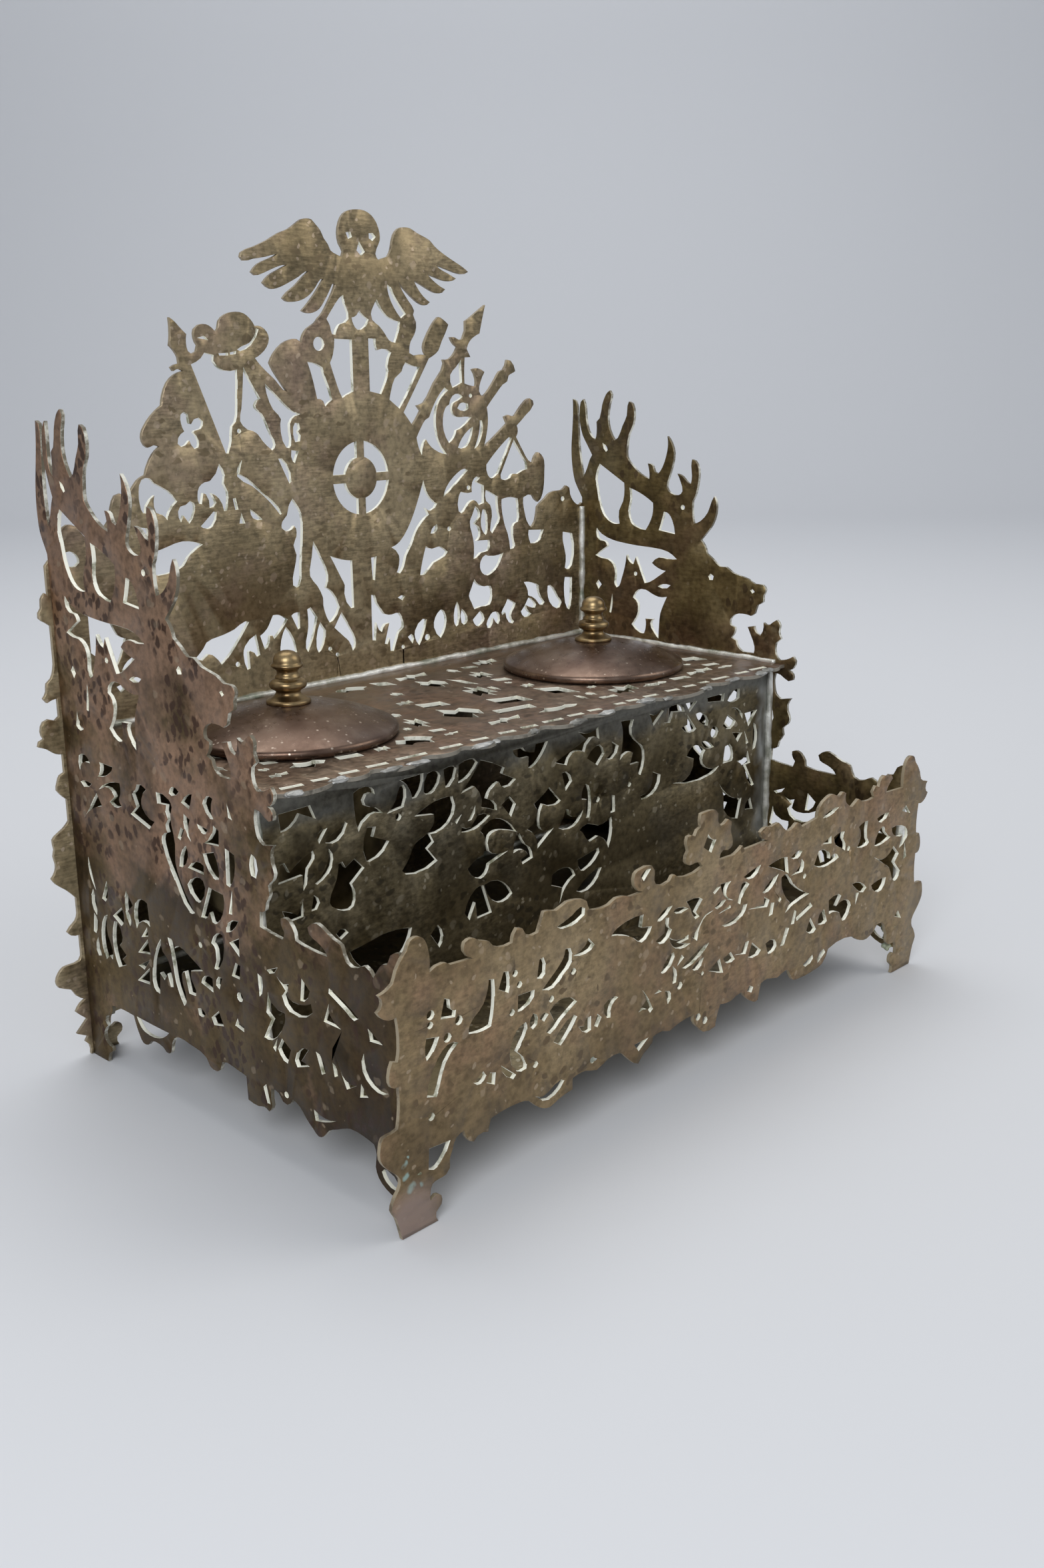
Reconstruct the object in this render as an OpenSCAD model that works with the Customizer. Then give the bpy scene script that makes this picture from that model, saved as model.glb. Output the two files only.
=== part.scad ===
// Desk inkstand of fret-sawn sheet brass: a box with two wells behind a pen tray

/* [Case] */
// Width over the two side panels
body_w = 221.5; // [180:0.5:300]
// Depth from the gallery's front face to the back plate's front face
body_d = 143.3; // [130:0.1:200]
// Depth of the pen tray, from the gallery's front face to the box front
tray_d = 55.5; // [35:0.5:62]
// Height of the shelf's top face over the table
shelf_h = 98.9; // [90:0.1:120]
// Height of the back plate at the tips of its crest
back_h = 245.8; // [200:0.1:300]
// Height of the gallery's top rail
gallery_h = 64.5; // [58:0.1:72]
// Height of the floor's underside over the table
floor_h = 20.8; // [20.8:0.1:24]
// Thickness of the sheet brass
sheet_t = 1.2; // [1:0.1:2]
// How far the two rear antlers of the side panels splay apart
antler_lean = 2.4; // [0:0.1:4]

/* [Wells] */
// Distance between the centres of the two wells
well_pitch = 129.4; // [110:0.1:140]
// Distance from the gallery's front face to the wells' centres
well_y = 96; // [90:0.1:105]
// Distance the wells sit left of the middle
well_shift = 2; // [0:0.1:4]
// Outer diameter of the cup's body
cup_d = 52.4; // [40:0.1:53]
// Wall of the cup
cup_wall = 0.8; // [0.5:0.1:1.5]
// Height of the glass pot
pot_h = 42.5; // [20:0.5:60]
// Wall of the glass pot
pot_wall = 4; // [2:0.1:6]
// Room between the pot's lip and the lid's collar
pot_room = 1.2; // [0.5:0.1:4]
// Gap all round between parts that slide in each other
fit_gap = 0.3; // [0.2:0.05:0.5]

/* [Lids] */
// Outer diameter of a lid over its rolled rim
lid_d = 61.5; // [60:0.1:66]
// Height of the lid's crown over the shelf
lid_rise = 9.6; // [7:0.1:12]
// Thickness of the lid's rolled rim
lid_rim = 3; // [2:0.1:3.4]
// Thickness of the lid's sheet
lid_t = 1; // [0.8:0.1:1.5]
// Depth of the collar below the shelf's top face
collar_depth = 3.5; // [2:0.1:4]
// Wall of the collar
collar_wall = 0.8; // [0.5:0.1:1.2]
// Diameter of the knob's foot
knob_d = 12.6; // [10:0.1:16]
// Height of the knob
knob_h = 14.9; // [14:0.1:24]
// Diameter of the threaded stud under the knob
stud_d = 3; // [2:0.1:4]
// Clearance of the stud in the lid and the nut, on the diameter
stud_gap = 0.2; // [0.1:0.05:0.4]
// Nut across its flats
nut_w = 5.5; // [5:0.1:8]
// Height of the nut
nut_h = 2.4; // [1.5:0.1:4]

/* [Solder] */
// Width of a solder seam on each of the two plates that it joins
seam_w = 2; // [1:0.1:3]

/* [Hidden] */
$fn = 96;

BRASS = "#8f7a52";
BRASS_TURNED = "#b08a45";
COPPERY = "#86604a";
SOLDER = "#a5a69c";
GLASS = "#a9c2c6";

// Turns of more than this many degrees stay sharp
sharp_turn = 68;
// Lengths of the straight pieces that a round stretch is made of
fine_step = 2;
coarse_step = 6;

// Inner faces of the side panels, and the floor's and the shelf's faces
inner_x = body_w / 2 - sheet_t;
floor_top = floor_h + sheet_t;
shelf_under = shelf_h - sheet_t;
antler_start = 150;
antler_tip = 185;
outline_mid_x = 1.82;
outline_mid_y = body_d / 2 + 2.715;

// The sizes that the fretwork is drawn to, before it is fitted to the case
art_w = 221.5;
art_mid = 110.4;
art_shelf = 98.9;
art_crest = 245.8;
art_rail = 64.5;
art_box_d = 87.8;
art_side_d = 141.8;

// ---- Round stretches of a sawn edge ----

function unit(v) = v / max(norm(v), 0.001);
function flat(p) = [p[0], p[1]];
function is_sharp(a, b, c) =
  b[2] == 1 || unit(flat(b) - flat(a)) * unit(flat(c) - flat(b)) < cos(sharp_turn);
// Direction of the edge as it passes point b
function heading(a, b, c) = unit(unit(flat(b) - flat(a)) + unit(flat(c) - flat(b)));
// Direction at the other end of an arc that leaves chord v in direction d
function arc_end(d, v) = 2 * (d * unit(v)) * unit(v) - d;
function bend(p, q, d, e, t) =
  let (l = norm(q - p), s = 1 - t)
  p * s * s * (1 + 2 * t) + q * t * t * (3 - 2 * t) + l * t * s * (d * s - e * t);
// The stretch from b to c, with its neighbours a and z
function stretch(a, b, c, z) =
  let (
    chord = flat(c) - flat(b),
    from_sharp = is_sharp(a, b, c),
    to_sharp = is_sharp(b, c, z),
    length = norm(chord),
    pieces = from_sharp && to_sharp || length < fine_step ? 1 : length < coarse_step ? 2 : 3,
    out_dir = heading(a, b, c),
    in_dir = heading(b, c, z),
    d = from_sharp ? arc_end(in_dir, chord) : out_dir,
    e = to_sharp ? arc_end(out_dir, chord) : in_dir
  )
  [for (i = [0:pieces - 1]) pieces == 1 ? flat(b) : bend(flat(b), flat(c), d, e, i / pieces)];
function rounded(path) =
  let (n = len(path))
  [for (i = [0:n - 1]) each stretch(path[(i + n - 1) % n], path[i], path[(i + 1) % n], path[(i + 2) % n])];
function mirrored(path, mid) = [for (p = path) [2 * mid - p[0], p[1], p[2]]];
function reversed(path) = [for (i = [len(path) - 1:-1:0]) path[i]];

// The part stands with the middle of its outline, leaves included, over the origin
module centred() { translate([-outline_mid_x, -outline_mid_y, 0]) children(); }

// ---- Fitting the fretwork to the case ----

function across(x) = (x - art_mid) * body_w / art_w;
function up_back(z) =
  z < art_shelf ? z * shelf_h / art_shelf
    : shelf_h + (z - art_shelf) * (back_h - shelf_h) / (art_crest - art_shelf);
function up_gallery(z) = z * gallery_h / art_rail;
function up_box(z) = lookup(z, [[20, floor_top], [art_shelf, shelf_h]]);
function up_side(u, z) =
  u < art_box_d + 1
    ? lookup(z, [[-10, -10], [0, 0], [art_shelf, shelf_h], [art_shelf + 100, shelf_h + 100]])
    : lookup(z, [[-10, -10], [0, 0], [art_rail, gallery_h], [art_shelf, shelf_h], [art_shelf + 40, shelf_h + 40]]);
// Place in the depth of the case for a distance u forwards from the back plate
function along(u) =
  lookup(u, [[-20, body_d + 20], [0, body_d], [art_box_d, tray_d], [art_side_d, sheet_t]]);
// Only the rear antlers splay, more towards their tips
antler_reach = [[-5, 1], [2, 1], [7, 0], [8, 0]];
function splay(u, z, lean) =
  lean * lookup(u, antler_reach) * max(0, z - antler_start) / (antler_tip - antler_start);

// Left side of the back plate from its foot upwards; a third value of 1 marks a sharp corner
back_side = [
  [-1,0,1], [-1.2,3], [-2.5,4.5], [-1.5,6], [-5,7.8,1], [-3.3,9.5], [-1.3,11.5,1], [-3.3,13.3],
  [-4.7,14.8,1], [-3,17], [-1.3,18,1], [-4,19.8], [-5.5,22.3], [-9.3,24], [-10,26], [-9,28.3],
  [-7.3,29.8], [-5,30], [-2,30.5], [-1.2,33,1], [-1.2,38.5,1], [-4,39], [-5,40.2,1], [-3.8,41.6],
  [-2,43], [-1.2,45,1], [-1.2,50,1], [-4,53], [-7,55.5], [-8.3,57.5], [-6.8,59.5], [-6.5,61.5], [-7,64],
  [-6.5,66], [-6.8,69], [-5,70.5], [-3,71.7], [-1.2,73.5,1], [-1.2,80,1], [-3,81.8], [-4,83.2],
  [-3.5,85.5], [-2.6,87.4], [-1.2,88,1], [-1.2,93.5,1], [-3.5,94], [-5.5,95.5], [-8.4,96.8], [-8,98.2],
  [-6.5,98.8], [-7.2,101], [-6.2,103.6], [-4.5,104.2], [-2.5,103.5], [-1.2,104.5,1], [-1.2,109.8,1],
  [-3,109.5], [-4.5,108.9], [-5.5,110.2], [-4.3,112], [-4,114.3], [-2.5,115.5], [-1.5,118], [-1.2,121,1],
  [-1.2,130.3,1], [-2.5,131.3], [-4.5,132.8], [-4.4,134.3], [-3.5,135.5], [-3.3,138], [-2,139.6],
  [-1.2,138.5,1], [-1.2,147,1]
];
// Crest of the back plate from left to right: hunter, owl with spread wings, stag and leaves
back_crest = [
  [0,148.3], [2,150], [4,152.5], [4.6,156], [6.5,157.6], [9,157], [11.5,154], [14,153], [17,155],
  [19.5,157.5], [20.8,161.5], [22.3,164.5], [24,165], [25.5,163.8,1], [27.5,165.5], [29.8,168.2],
  [32.6,169.6,1], [33.6,172.2], [35.5,175.2], [38,177.3,1], [36,177.8], [34,177.2], [32.5,179],
  [32.5,181.2], [33.6,183.2], [36,186], [39.7,188.8,1], [40.3,191.5], [42,195], [44.6,197.2],
  [47.7,198.2,1], [46.5,198.8], [44.4,198.2], [43.6,199.3], [45,200], [46.5,200.3,1], [46.3,202],
  [45.2,203.8], [43.7,205.3,1], [44.2,208], [44.2,213,1], [46,211.8], [47.6,210.2], [49.6,208.4,1],
  [49.3,206], [49.8,203.7], [51,202.9], [52.6,203.6], [53.2,205.3,1], [52.2,207.3], [52.4,209.8],
  [54,211], [56.5,211.2], [58.4,210.3], [59.7,209.1,1], [60.6,210], [61.2,212.2], [63.5,214], [67,214.8],
  [70,214.4], [72.3,212.8], [73.8,210.8,1], [76,210.7], [78.1,209.2], [78.8,207.2], [77.8,204.8],
  [75.6,202.8], [73.3,201.6,1], [75.5,199.2], [80.5,195], [83.2,192.2], [84.8,191.5,1], [82.5,194.5],
  [80,197.8], [78.7,200.2,1], [80.5,203], [83.8,205.8], [87,207], [89.2,207.1], [91,205.8,1],
  [91.8,208.3], [93.5,210.2], [96.5,211.8], [98,213.3,1], [100,215], [102,217.8], [104,220.8],
  [105.3,223.4,1], [104.2,223.7], [102.5,221], [100.5,218.2], [98.5,216], [96,214.9], [94,214.7],
  [91.8,215.4,1], [94,217.3], [97,220.3], [99.3,223], [100.8,224.9,1], [99.6,224.8], [97.5,222.5],
  [95.5,220.5], [93,219], [90.5,218.2], [88,217.9], [86,218.1], [84.8,218.9,1], [86.5,220.6],
  [89.5,222.5], [92.5,225], [95,226.9,1], [93.8,226.8], [91,225.2], [88,223.8], [85,222.5], [82.5,221.7],
  [80.5,221.5], [77.7,223.2,1], [80,225.3], [83,226.8], [86.9,228.5,1], [85.3,228.4], [83,227.8],
  [80,226.7], [77,225.6], [75,225.2], [73.7,226.1,1], [76,228.3], [79,229.6], [81.5,230.5],
  [83.4,231.4,1], [81,231], [79,230.5], [74.5,229.8], [71,229.2], [70,230.2], [70.4,231.4], [75,233.2],
  [80,235.2], [84.5,237.5], [88,238.7], [91,240.5], [93,241.7], [95,242.1], [97,241.9], [98.5,240.6],
  [100.2,239], [101.4,236.8], [103,235], [103.9,233.3], [106,232.3], [108.3,231.6,1], [109,233.2],
  [107.6,235.5], [107.1,238.5], [107.9,241.8], [109.6,244.2], [112,245.4], [115,245.8], [118,245.6],
  [120.8,244.4], [122.8,242.3], [124,239.3], [124,237], [122.6,234.6], [122,233], [123.3,231.1,1],
  [125,231.8], [127.3,232.4], [128.8,235], [129.3,237.2], [130,239], [132,241], [134.5,241.5],
  [137,241.3], [140,240], [143,239], [145.5,238], [147.5,236.3], [151,234.3], [157,231.6], [160,230.3],
  [162.6,228.8,1], [161,228.1], [158,228.1], [154,229], [148,230.5,1], [150,229.2], [153,228.1],
  [156.9,226.5,1], [155,225.7], [152,225.6], [148,226.5], [144.2,227.5,1], [146,226], [149,224.2],
  [151.9,223,1], [150.5,221.9], [148,221.7], [145,222.6], [141,224.3], [138,225.4,1], [139.8,222.8],
  [142,220.6], [144.9,218.8,1], [143.5,217.9], [141.5,217.9], [138.5,219.3], [135,221.8],
  [131.3,224.9,1], [133,222], [135.5,219], [137.8,216], [137.3,214.8], [138.5,212.5], [138.5,210.8],
  [137.6,208.5], [136,206.5], [135.3,204.5], [135.2,202.8], [137,202], [140,202.3], [142.6,202,1],
  [141.6,204.6], [142.5,207], [145.5,211.3], [147,213], [148.5,214.2], [150.5,213.5], [153,211.8,1],
  [151.5,209], [149.7,206.3], [148.2,203.5], [146,202], [143.8,201,1], [139,194], [132,184,1],
  [135.7,179.7,1], [137.5,181.5], [139.6,184.3], [138,186], [140,186.4], [141.3,186.9], [146,193],
  [150.8,199.4], [150.3,200.6], [153.5,200.9], [156,203], [157,204.6], [155,206], [153.9,207.8,1],
  [156,207.7], [158.2,206.8], [159.6,207.3], [161,213,1], [163,214], [166,215.8], [170.4,218.4,1],
  [168.8,213.5], [167.5,209,1], [165,208], [162.8,206.5], [161.3,204,1], [163,201.3,1], [160.3,201.2,1],
  [160,197], [160,192.7,1], [162.5,192], [165.4,191.6,1], [165.6,194], [163.8,197.3,1], [166.5,197.6],
  [169.6,196.3,1], [167.6,193], [166.9,190], [168.6,188.2,1], [170.5,189.3], [175,194], [177,196.4],
  [179,197], [180.8,200.3], [182.5,200], [184.8,196.4], [183.5,195.8], [181.5,195], [180.7,193],
  [178.5,192], [175.5,189.3], [173,187], [170.5,184.5,1], [171,180.5], [170.6,177], [168.8,171.2,1],
  [172,173], [178,177], [180.5,178.7], [179.2,181], [181,181.6], [184,181], [186,182.8], [190,186.3],
  [192,187], [193.6,186.2], [194,184.8], [190,181.3], [185.3,177.8,1], [185.8,175.8], [184.9,173.9,1],
  [188.3,169], [191,165.5], [193.5,164.4], [194.8,167], [196,168], [198,167], [199.4,165], [199.5,161],
  [199,155], [197.5,151.3], [196,150.3], [194.5,151.3], [193.3,152.9], [188.3,152.4,1], [188.2,150.5],
  [189,147], [190,144], [192.3,141.3], [194.5,143.2], [195.3,145.5], [195.8,148.5,1], [197.5,149.9],
  [200,151.3], [202,152.8], [205,153.6], [209,153.7], [211.3,155.2,1], [213,154.3], [213.4,152],
  [215,149.5], [217,148], [219,147.6], [220,148.3]
];
// Back plate: cuts in the owl and along the crest
back_cuts_crest = [
  [[110.2,238.8,1], [112,239,1], [112.5,237.6,1], [111,237,1]],
  [[119.5,238.9,1], [121,239.1,1], [122.2,238,1], [120.8,236.8,1], [119.5,237.5,1]],
  [[115.3,236.3,1], [117.5,233.4,1], [116,232.2,1], [114.3,233.7,1]],
  [[101.2,213.1,1], [103.5,216], [106.5,219.3], [108.2,220.4,1], [108.6,218], [110,215], [110,213.3],
   [108.5,212.1], [106.5,211.6], [105,210], [104.3,208.4,1], [103.2,208.6], [102.5,211]],
  [[111.3,213.6,1], [113.3,214.3], [114.5,215.8,1], [116,214.5], [118.3,213.1,1], [116.8,211],
   [115.3,210.1], [113.5,210], [112,211.5]],
  [[121.8,219.1,1], [123.5,216.8], [126,214.3], [128.5,213.2], [131.6,212.5,1], [130.5,209],
   [129.2,206,1], [126.5,206.9], [125,208.7], [122.5,211.3], [119.8,213], [119.3,214.8], [120.3,217]],
  [[126.4,224,1], [127,220.8], [129,217], [132,213.6,1], [134.2,215,1], [131.5,218], [129.3,220.8],
   [127.8,223.2]],
  [[93,200.3,1], [96,199.8], [98.7,198.6,1], [99.5,196], [101,192.5], [102.2,188.8,1], [100.5,187.8],
   [99.3,186.8,1], [98.5,188.5], [96.2,189.2,1], [95.3,193], [94.2,197]],
  [[104,207.2,1], [110.9,206.9,1], [110.8,191.2,1], [108.5,190.3], [106.3,189.3,1], [105.3,191],
   [103.5,195.5], [101.9,200,1], [103.2,202.5]],
  [[117.8,207.3,1], [120.7,207.2], [121,205], [121.5,203.7,1], [125.5,204], [127.2,203,1], [125.5,199],
   [125.8,197], [124.5,193.5], [122.5,190,1], [117.8,191,1]],
  [[133.3,199.8,1], [135.5,199], [139.5,198.2,1], [134,190], [130.3,185.2,1], [126,188.2,1], [126.8,191],
   [128.5,194.8], [131.6,197], [132.3,198.5]],
  [[153.4,195.6], [156,198], [158.3,200.3,1], [158.7,193,1], [156,191.9], [154.3,191.4,1]],
  [[50.5,200,1], [54,201.7], [55.3,203.2,1], [58.5,202.5], [58.3,200.8], [59.5,199.3], [61.5,198.2],
   [66.5,198.3,1], [65.9,190], [64.8,183.2], [63.5,182], [63,178], [61.7,174.2], [60.8,174.3,1]],
  [[60.3,203,1], [63.5,203.1,1], [63.5,202.5,1], [60.5,202.5,1]],
  [[64.3,203.2,1], [66.4,203.6,1], [66.3,202.9,1], [64.4,202.7,1]],
  [[67,204.1,1], [68.5,204.9], [71.5,206], [73.3,207.8], [74.2,210.2,1], [75,209.9,1], [72,205.3],
   [68,203.6,1]],
  [[53.5,207.4,1], [55.3,207.9], [57,206.7,1], [55.3,207.1]]
];
// Back plate: cuts round the hunter, left of the shield
back_cuts_left = [
  [[84.6,159.2], [86,157.5], [87.8,154.3], [87.8,147], [86.8,138.5], [85.8,132], [84.6,131.5],
   [83.3,132.3], [84,137], [85.2,141.8], [84.2,144.8], [85.5,147.5], [85.5,150], [84.8,150.9],
   [83.8,149.9], [81.5,149.5], [80,150.5], [80.3,152.5], [82.2,154.3], [83,157]],
  [[45.8,186], [46.8,186.7], [48.3,186], [48.5,183.5], [49.2,183.2,1], [50.3,184.6], [52,185],
   [53.4,183.8], [52.5,181.8], [50.2,181.3], [49.8,180.8,1], [51.4,178.5], [51.2,176.5], [49.8,176.1],
   [48.8,177.3], [48.2,178.6,1], [46.8,177.3], [45.3,176.9], [44.2,177.8], [44.5,179.5], [46.7,181.2,1],
   [45.8,183.5]],
  [[68.8,198.8,1], [70.5,196], [74.3,189.8,1], [72.3,188], [72.5,187], [74.5,185.5], [77.5,179.5],
   [79.1,176], [77.8,174.4,1], [74.5,177.3], [73,179.2], [71,180.5], [69,181], [66.6,183.5], [67.3,187]],
  [[76.4,194,1], [80,191], [85.5,186.3], [88.9,184.8,1], [86,183.5], [85,182], [85,175.5], [84.3,174.8],
   [83.3,175], [81.4,182], [81.8,183.5], [80.8,185], [79,186.5]],
  [[87,182.2], [88.5,182], [88.8,180.3], [88,179.5], [88.9,178.3], [88.5,176.6], [86.8,176.4], [86.3,181]],
  [[85.2,174,1], [87.8,173.6,1], [86.2,170.2], [85.6,170.5]],
  [[80,171.7], [81.3,171.7], [84.6,164.5,1], [83.8,164]],
  [[58,171.3], [59.8,167.8], [59.3,165.5], [60.5,163], [60.3,159], [59.8,157.6], [58.9,157.5],
   [57.3,161.3], [54.7,163,1], [56.2,160], [55.3,159], [53.8,158.8], [52.8,162.8], [51.8,163.2],
   [51,160.1], [50.2,160.3], [49.8,162.5], [50.5,165], [52.5,166.3], [54.5,166.6]],
  [[43.5,159.8], [45.5,160.2], [47,161.2], [48.3,160.5], [48.5,158.3], [46.3,154.8], [44.5,157.2],
   [43.5,155.3], [42.7,158.5]],
  [[50.3,153.6], [53.5,156.2], [55,157.5], [56.2,157.3], [54.5,153.3], [52.3,152.7]],
  [[62.3,160.8], [63.2,161], [64,157.5], [63,157.4]],
  [[65,156.2], [66.2,153.2,1], [64.2,153.3,1]],
  [[68.4,157.2,1], [71,155.3], [72.5,153.9,1], [69.3,154.5]],
  [[66.2,171.8,1], [65,167.9], [67.5,166.8], [72.5,162.6], [78.8,157.3], [80.2,155,1], [79.6,154.8,1],
   [75.5,159.3], [69.5,164.2], [64.4,167.3], [64.7,169.8]],
  [[31.2,168.3], [33.8,168.6], [35.5,167], [39.8,164.6], [42.6,161.5,1], [39.6,158.5], [38.9,156.3,1],
   [37.3,158], [35.3,158.7], [34.7,160.5], [35.1,163.7,1], [32.3,161], [31.8,158.8,1], [31,158.9],
   [30.1,161.5], [30,165]],
  [[30.5,147], [36,148], [43.5,149.7], [50.3,148.2,1], [45,144.8], [43.3,142.6], [40,141.3], [32,141.2],
   [30,143.5]],
  [[29.3,155,1], [31.8,154.5,1], [32.3,153.3], [30.8,151.6,1]],
  [[4.5,149.5], [6.5,150.3], [8.6,149], [9.2,147], [8,146], [5.5,146.3]]
];
// Back plate: cuts in the stag and the branches, right of the shield
back_cuts_right = [
  [[152,190.6,1], [149.5,188.7], [147.2,185.8], [146.2,182], [146.3,178.3], [147.5,174.2],
   [150.8,169.6,1], [147,170.6], [144,172.3], [141.6,174.9,1], [140.4,173.5], [139.5,170,1],
   [138.3,172.3], [137.4,175.6,1], [139.5,178.8], [141.5,181.2], [143.3,182,1], [147,188],
   [150.5,191.5,1]],
  [[159,188.3,1], [157,189.4], [154.2,188.7], [152.6,185.9,1], [150.8,184.8], [149.6,181.5],
   [149.8,177.5], [152.2,173.2,1], [154.5,174.8], [155.8,177.3,1], [158.5,178.2], [163,181.4,1],
   [160,181.7], [157,181.6], [155,182.3], [153.9,184], [154.5,186.2], [157,187.2]],
  [[156.4,184.6], [157.5,186], [159.5,186.4], [161.3,186], [161.5,184.5], [159.5,183.6]],
  [[156.4,171.5,1], [158.3,174.5], [161.5,177.2], [163.6,178.2,1], [162,173.3], [159.5,171.3]],
  [[167,180.2,1], [166.8,177], [165.7,173.8], [164.1,170.7,1], [166,171.8], [167.7,174.8], [168.4,178],
   [168,180.2,1]],
  [[169.9,165,1], [173.5,168.3], [178,171.8], [181.3,174,1], [182.8,173.6,1], [179.3,167.8],
   [176.2,162.5,1], [174.3,160.8], [172.3,160.2], [170.5,161.5]],
  [[183.6,172.9,1], [187,168.5], [190.2,164.7,1], [190.5,162.3], [188,161.9], [185.3,160.9], [183,161.1],
   [181.5,159.7,1], [179,159.2], [177,159.8], [176.9,161.2,1]],
  [[149,155.3,1], [150.5,158.5], [154,161.8], [159.5,164.3], [160.9,163.7,1], [154.5,159]],
  [[156.1,150], [156.2,154.8], [157.3,156.5], [160,155.9], [162.6,156], [162.9,159.5], [164.8,161.2],
   [166.5,160.7,1], [164.8,159.4,1], [168.3,158,1], [168.3,152,1], [165.8,151.4,1], [163.3,153.3],
   [161,152.4], [158.8,150], [157.3,149.2]],
  [[164,151,1], [166,149.3], [166.2,147.2,1], [163.8,145,1], [165.5,144], [166.4,142], [166.3,140.5],
   [164.5,139,1], [170.8,138.8,1], [171,136.8], [170,135], [166.5,134.6], [164.3,133], [162.9,132.8,1],
   [163.2,137], [162.8,140], [161.4,146], [162.5,148]],
  [[167,147.5], [167.8,149.8], [169,149.5], [169.9,146], [170,142.5], [169,140.7], [168,141.5],
   [166.8,144]],
  [[169.3,156.3,1], [171.5,155.5], [175,153.8,1], [175.5,148.5], [176.3,146], [175,144], [172.3,140.9],
   [171.3,142], [172.3,147], [171.5,151], [169.5,152.5]],
  [[177.2,152.5,1], [180.5,153], [185.2,152.4,1], [185.9,147], [185.5,144], [183.8,143.5], [182.8,142.2],
   [183.3,137.5], [183.7,135.5], [182.8,134.6], [181.3,134.5], [180.2,140], [178.8,143], [177.2,149.5]],
  [[191,140.5,1], [198.8,140,1], [198,138.5], [197,136.6], [195.5,135.8], [192,135.6], [190.8,139]],
  [[142.7,143.5,1], [143.2,144.8], [145.5,146.3,1], [145.8,145], [144.3,143.4]],
  [[140.3,139.3,1], [143,138.2], [146.3,138.7], [148.5,137.8], [150.3,136.6], [149,135.2], [144,133.5],
   [139.3,129.8], [137.4,129.8,1], [138,132.5]],
  [[139.8,161.3,1], [141,158.2], [143.3,155], [145.9,153.3,1], [143,151.2], [140.5,152.3,1],
   [142,149.8,1], [138.8,147.7], [136,144.5], [133.8,140.5], [131.2,137], [130,133.5], [128.2,131.4],
   [126.9,131.9], [128,134.5], [128,137.5], [124.9,140.4,1], [128.5,141.9], [132.3,146], [135.3,151],
   [138.3,157.5]]
];
// Back plate: cuts in the grass and hounds at the lower left
back_cuts_low_left = [
  [[45.6,114.6,1], [48.3,117], [49.5,118.6], [56,120.2], [60,121.3], [64.3,123.3], [65.4,122.8,1],
   [61,117.3], [56.8,112.8], [54.5,111.2,1], [52.3,113.8], [50,115], [47.5,113.4]],
  [[67.8,118.6], [68.8,113.5], [69,112], [67.8,111.6,1], [65.5,113.8], [64.8,113.5], [65,108.3],
   [64,108], [62.8,113], [63.5,115.5]],
  [[74.8,123.8,1], [77.5,123.5], [80.3,121.8,1], [77.3,118.5], [74.8,116.4], [74.2,117.5], [73.3,117.5],
   [72,114], [71,113.5], [69.5,118], [72.3,119.9], [74,122.5]],
  [[79.5,119.5], [82.3,115.5], [83.5,111,1], [77,110.5,1], [77.5,115.5]],
  [[82,122.8], [83,123.4], [85.3,123.4,1], [85.2,118.5], [84.3,118.2]],
  [[88.4,124], [89.7,124.5], [92.2,121,1], [90,114], [88,110.2], [87.2,111.5], [88.5,118.3]],
  [[93.3,119.2], [95.4,116.3,1], [93.3,110], [92.3,109.4], [91.5,111.5]],
  [[10.5,133,1], [10.5,121,1], [13,119], [16,117], [18.5,116], [20,118.5], [22,123.7], [19.5,125],
   [18,128], [16,131]],
  [[20,114.6,1], [22,117], [25,118.3], [22,115]],
  [[17.8,110], [19.5,110.5], [20.3,109], [19,108.2]],
  [[23,111.5], [25.5,112.3], [26.5,110.5], [24.8,106.8]]
];
// Back plate: cuts under the shield
back_cuts_middle = [
  [[98.7,140,1], [104,138.3], [107.7,137.7,1], [107.8,122.3,1], [106.5,122.2], [103.9,127.3],
   [104.2,130], [103,132.3]],
  [[92,145.2,1], [95.5,139], [97.4,134], [96.5,130], [98.8,128.5], [101.7,123.3,1], [98.5,119],
   [97.3,118.6], [96,121], [95,124.5], [95,127], [93,131], [90.2,134.5], [91.2,140.5]],
  [[102.3,121.3,1], [106,115.5], [107.8,112], [107.6,109], [106.5,108,1], [105,111.5], [103.3,113],
   [99.2,116.7,1]],
  [[115.8,137.8,1], [118,138,1], [117,130.3], [116.2,130.5]],
  [[127,123.3], [128.5,123.9], [130.2,123.4], [129,122.2]],
  [[115.3,125.5], [116.7,125.3], [117.5,122.8], [119.3,120.5], [120.8,118.5], [124,117.9], [127.4,118.1],
   [128.5,116.5], [129,113], [127.3,111.8], [125.8,109], [124.3,105.4], [123,105.6], [122.8,110.1,1],
   [121.6,108.1], [120.5,108.4], [122.8,115.2], [121,115], [119.3,112.6], [118.3,113.3], [117.2,116],
   [116.5,110.1], [115.2,110.3], [115.2,120]],
  [[131,109.3], [132.5,110.1], [133.8,108.3], [133,106.8]],
  [[134.3,111], [138,114.6], [139.8,114.2], [138.3,109.5], [136,105.8], [134.3,108.5]]
];
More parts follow.
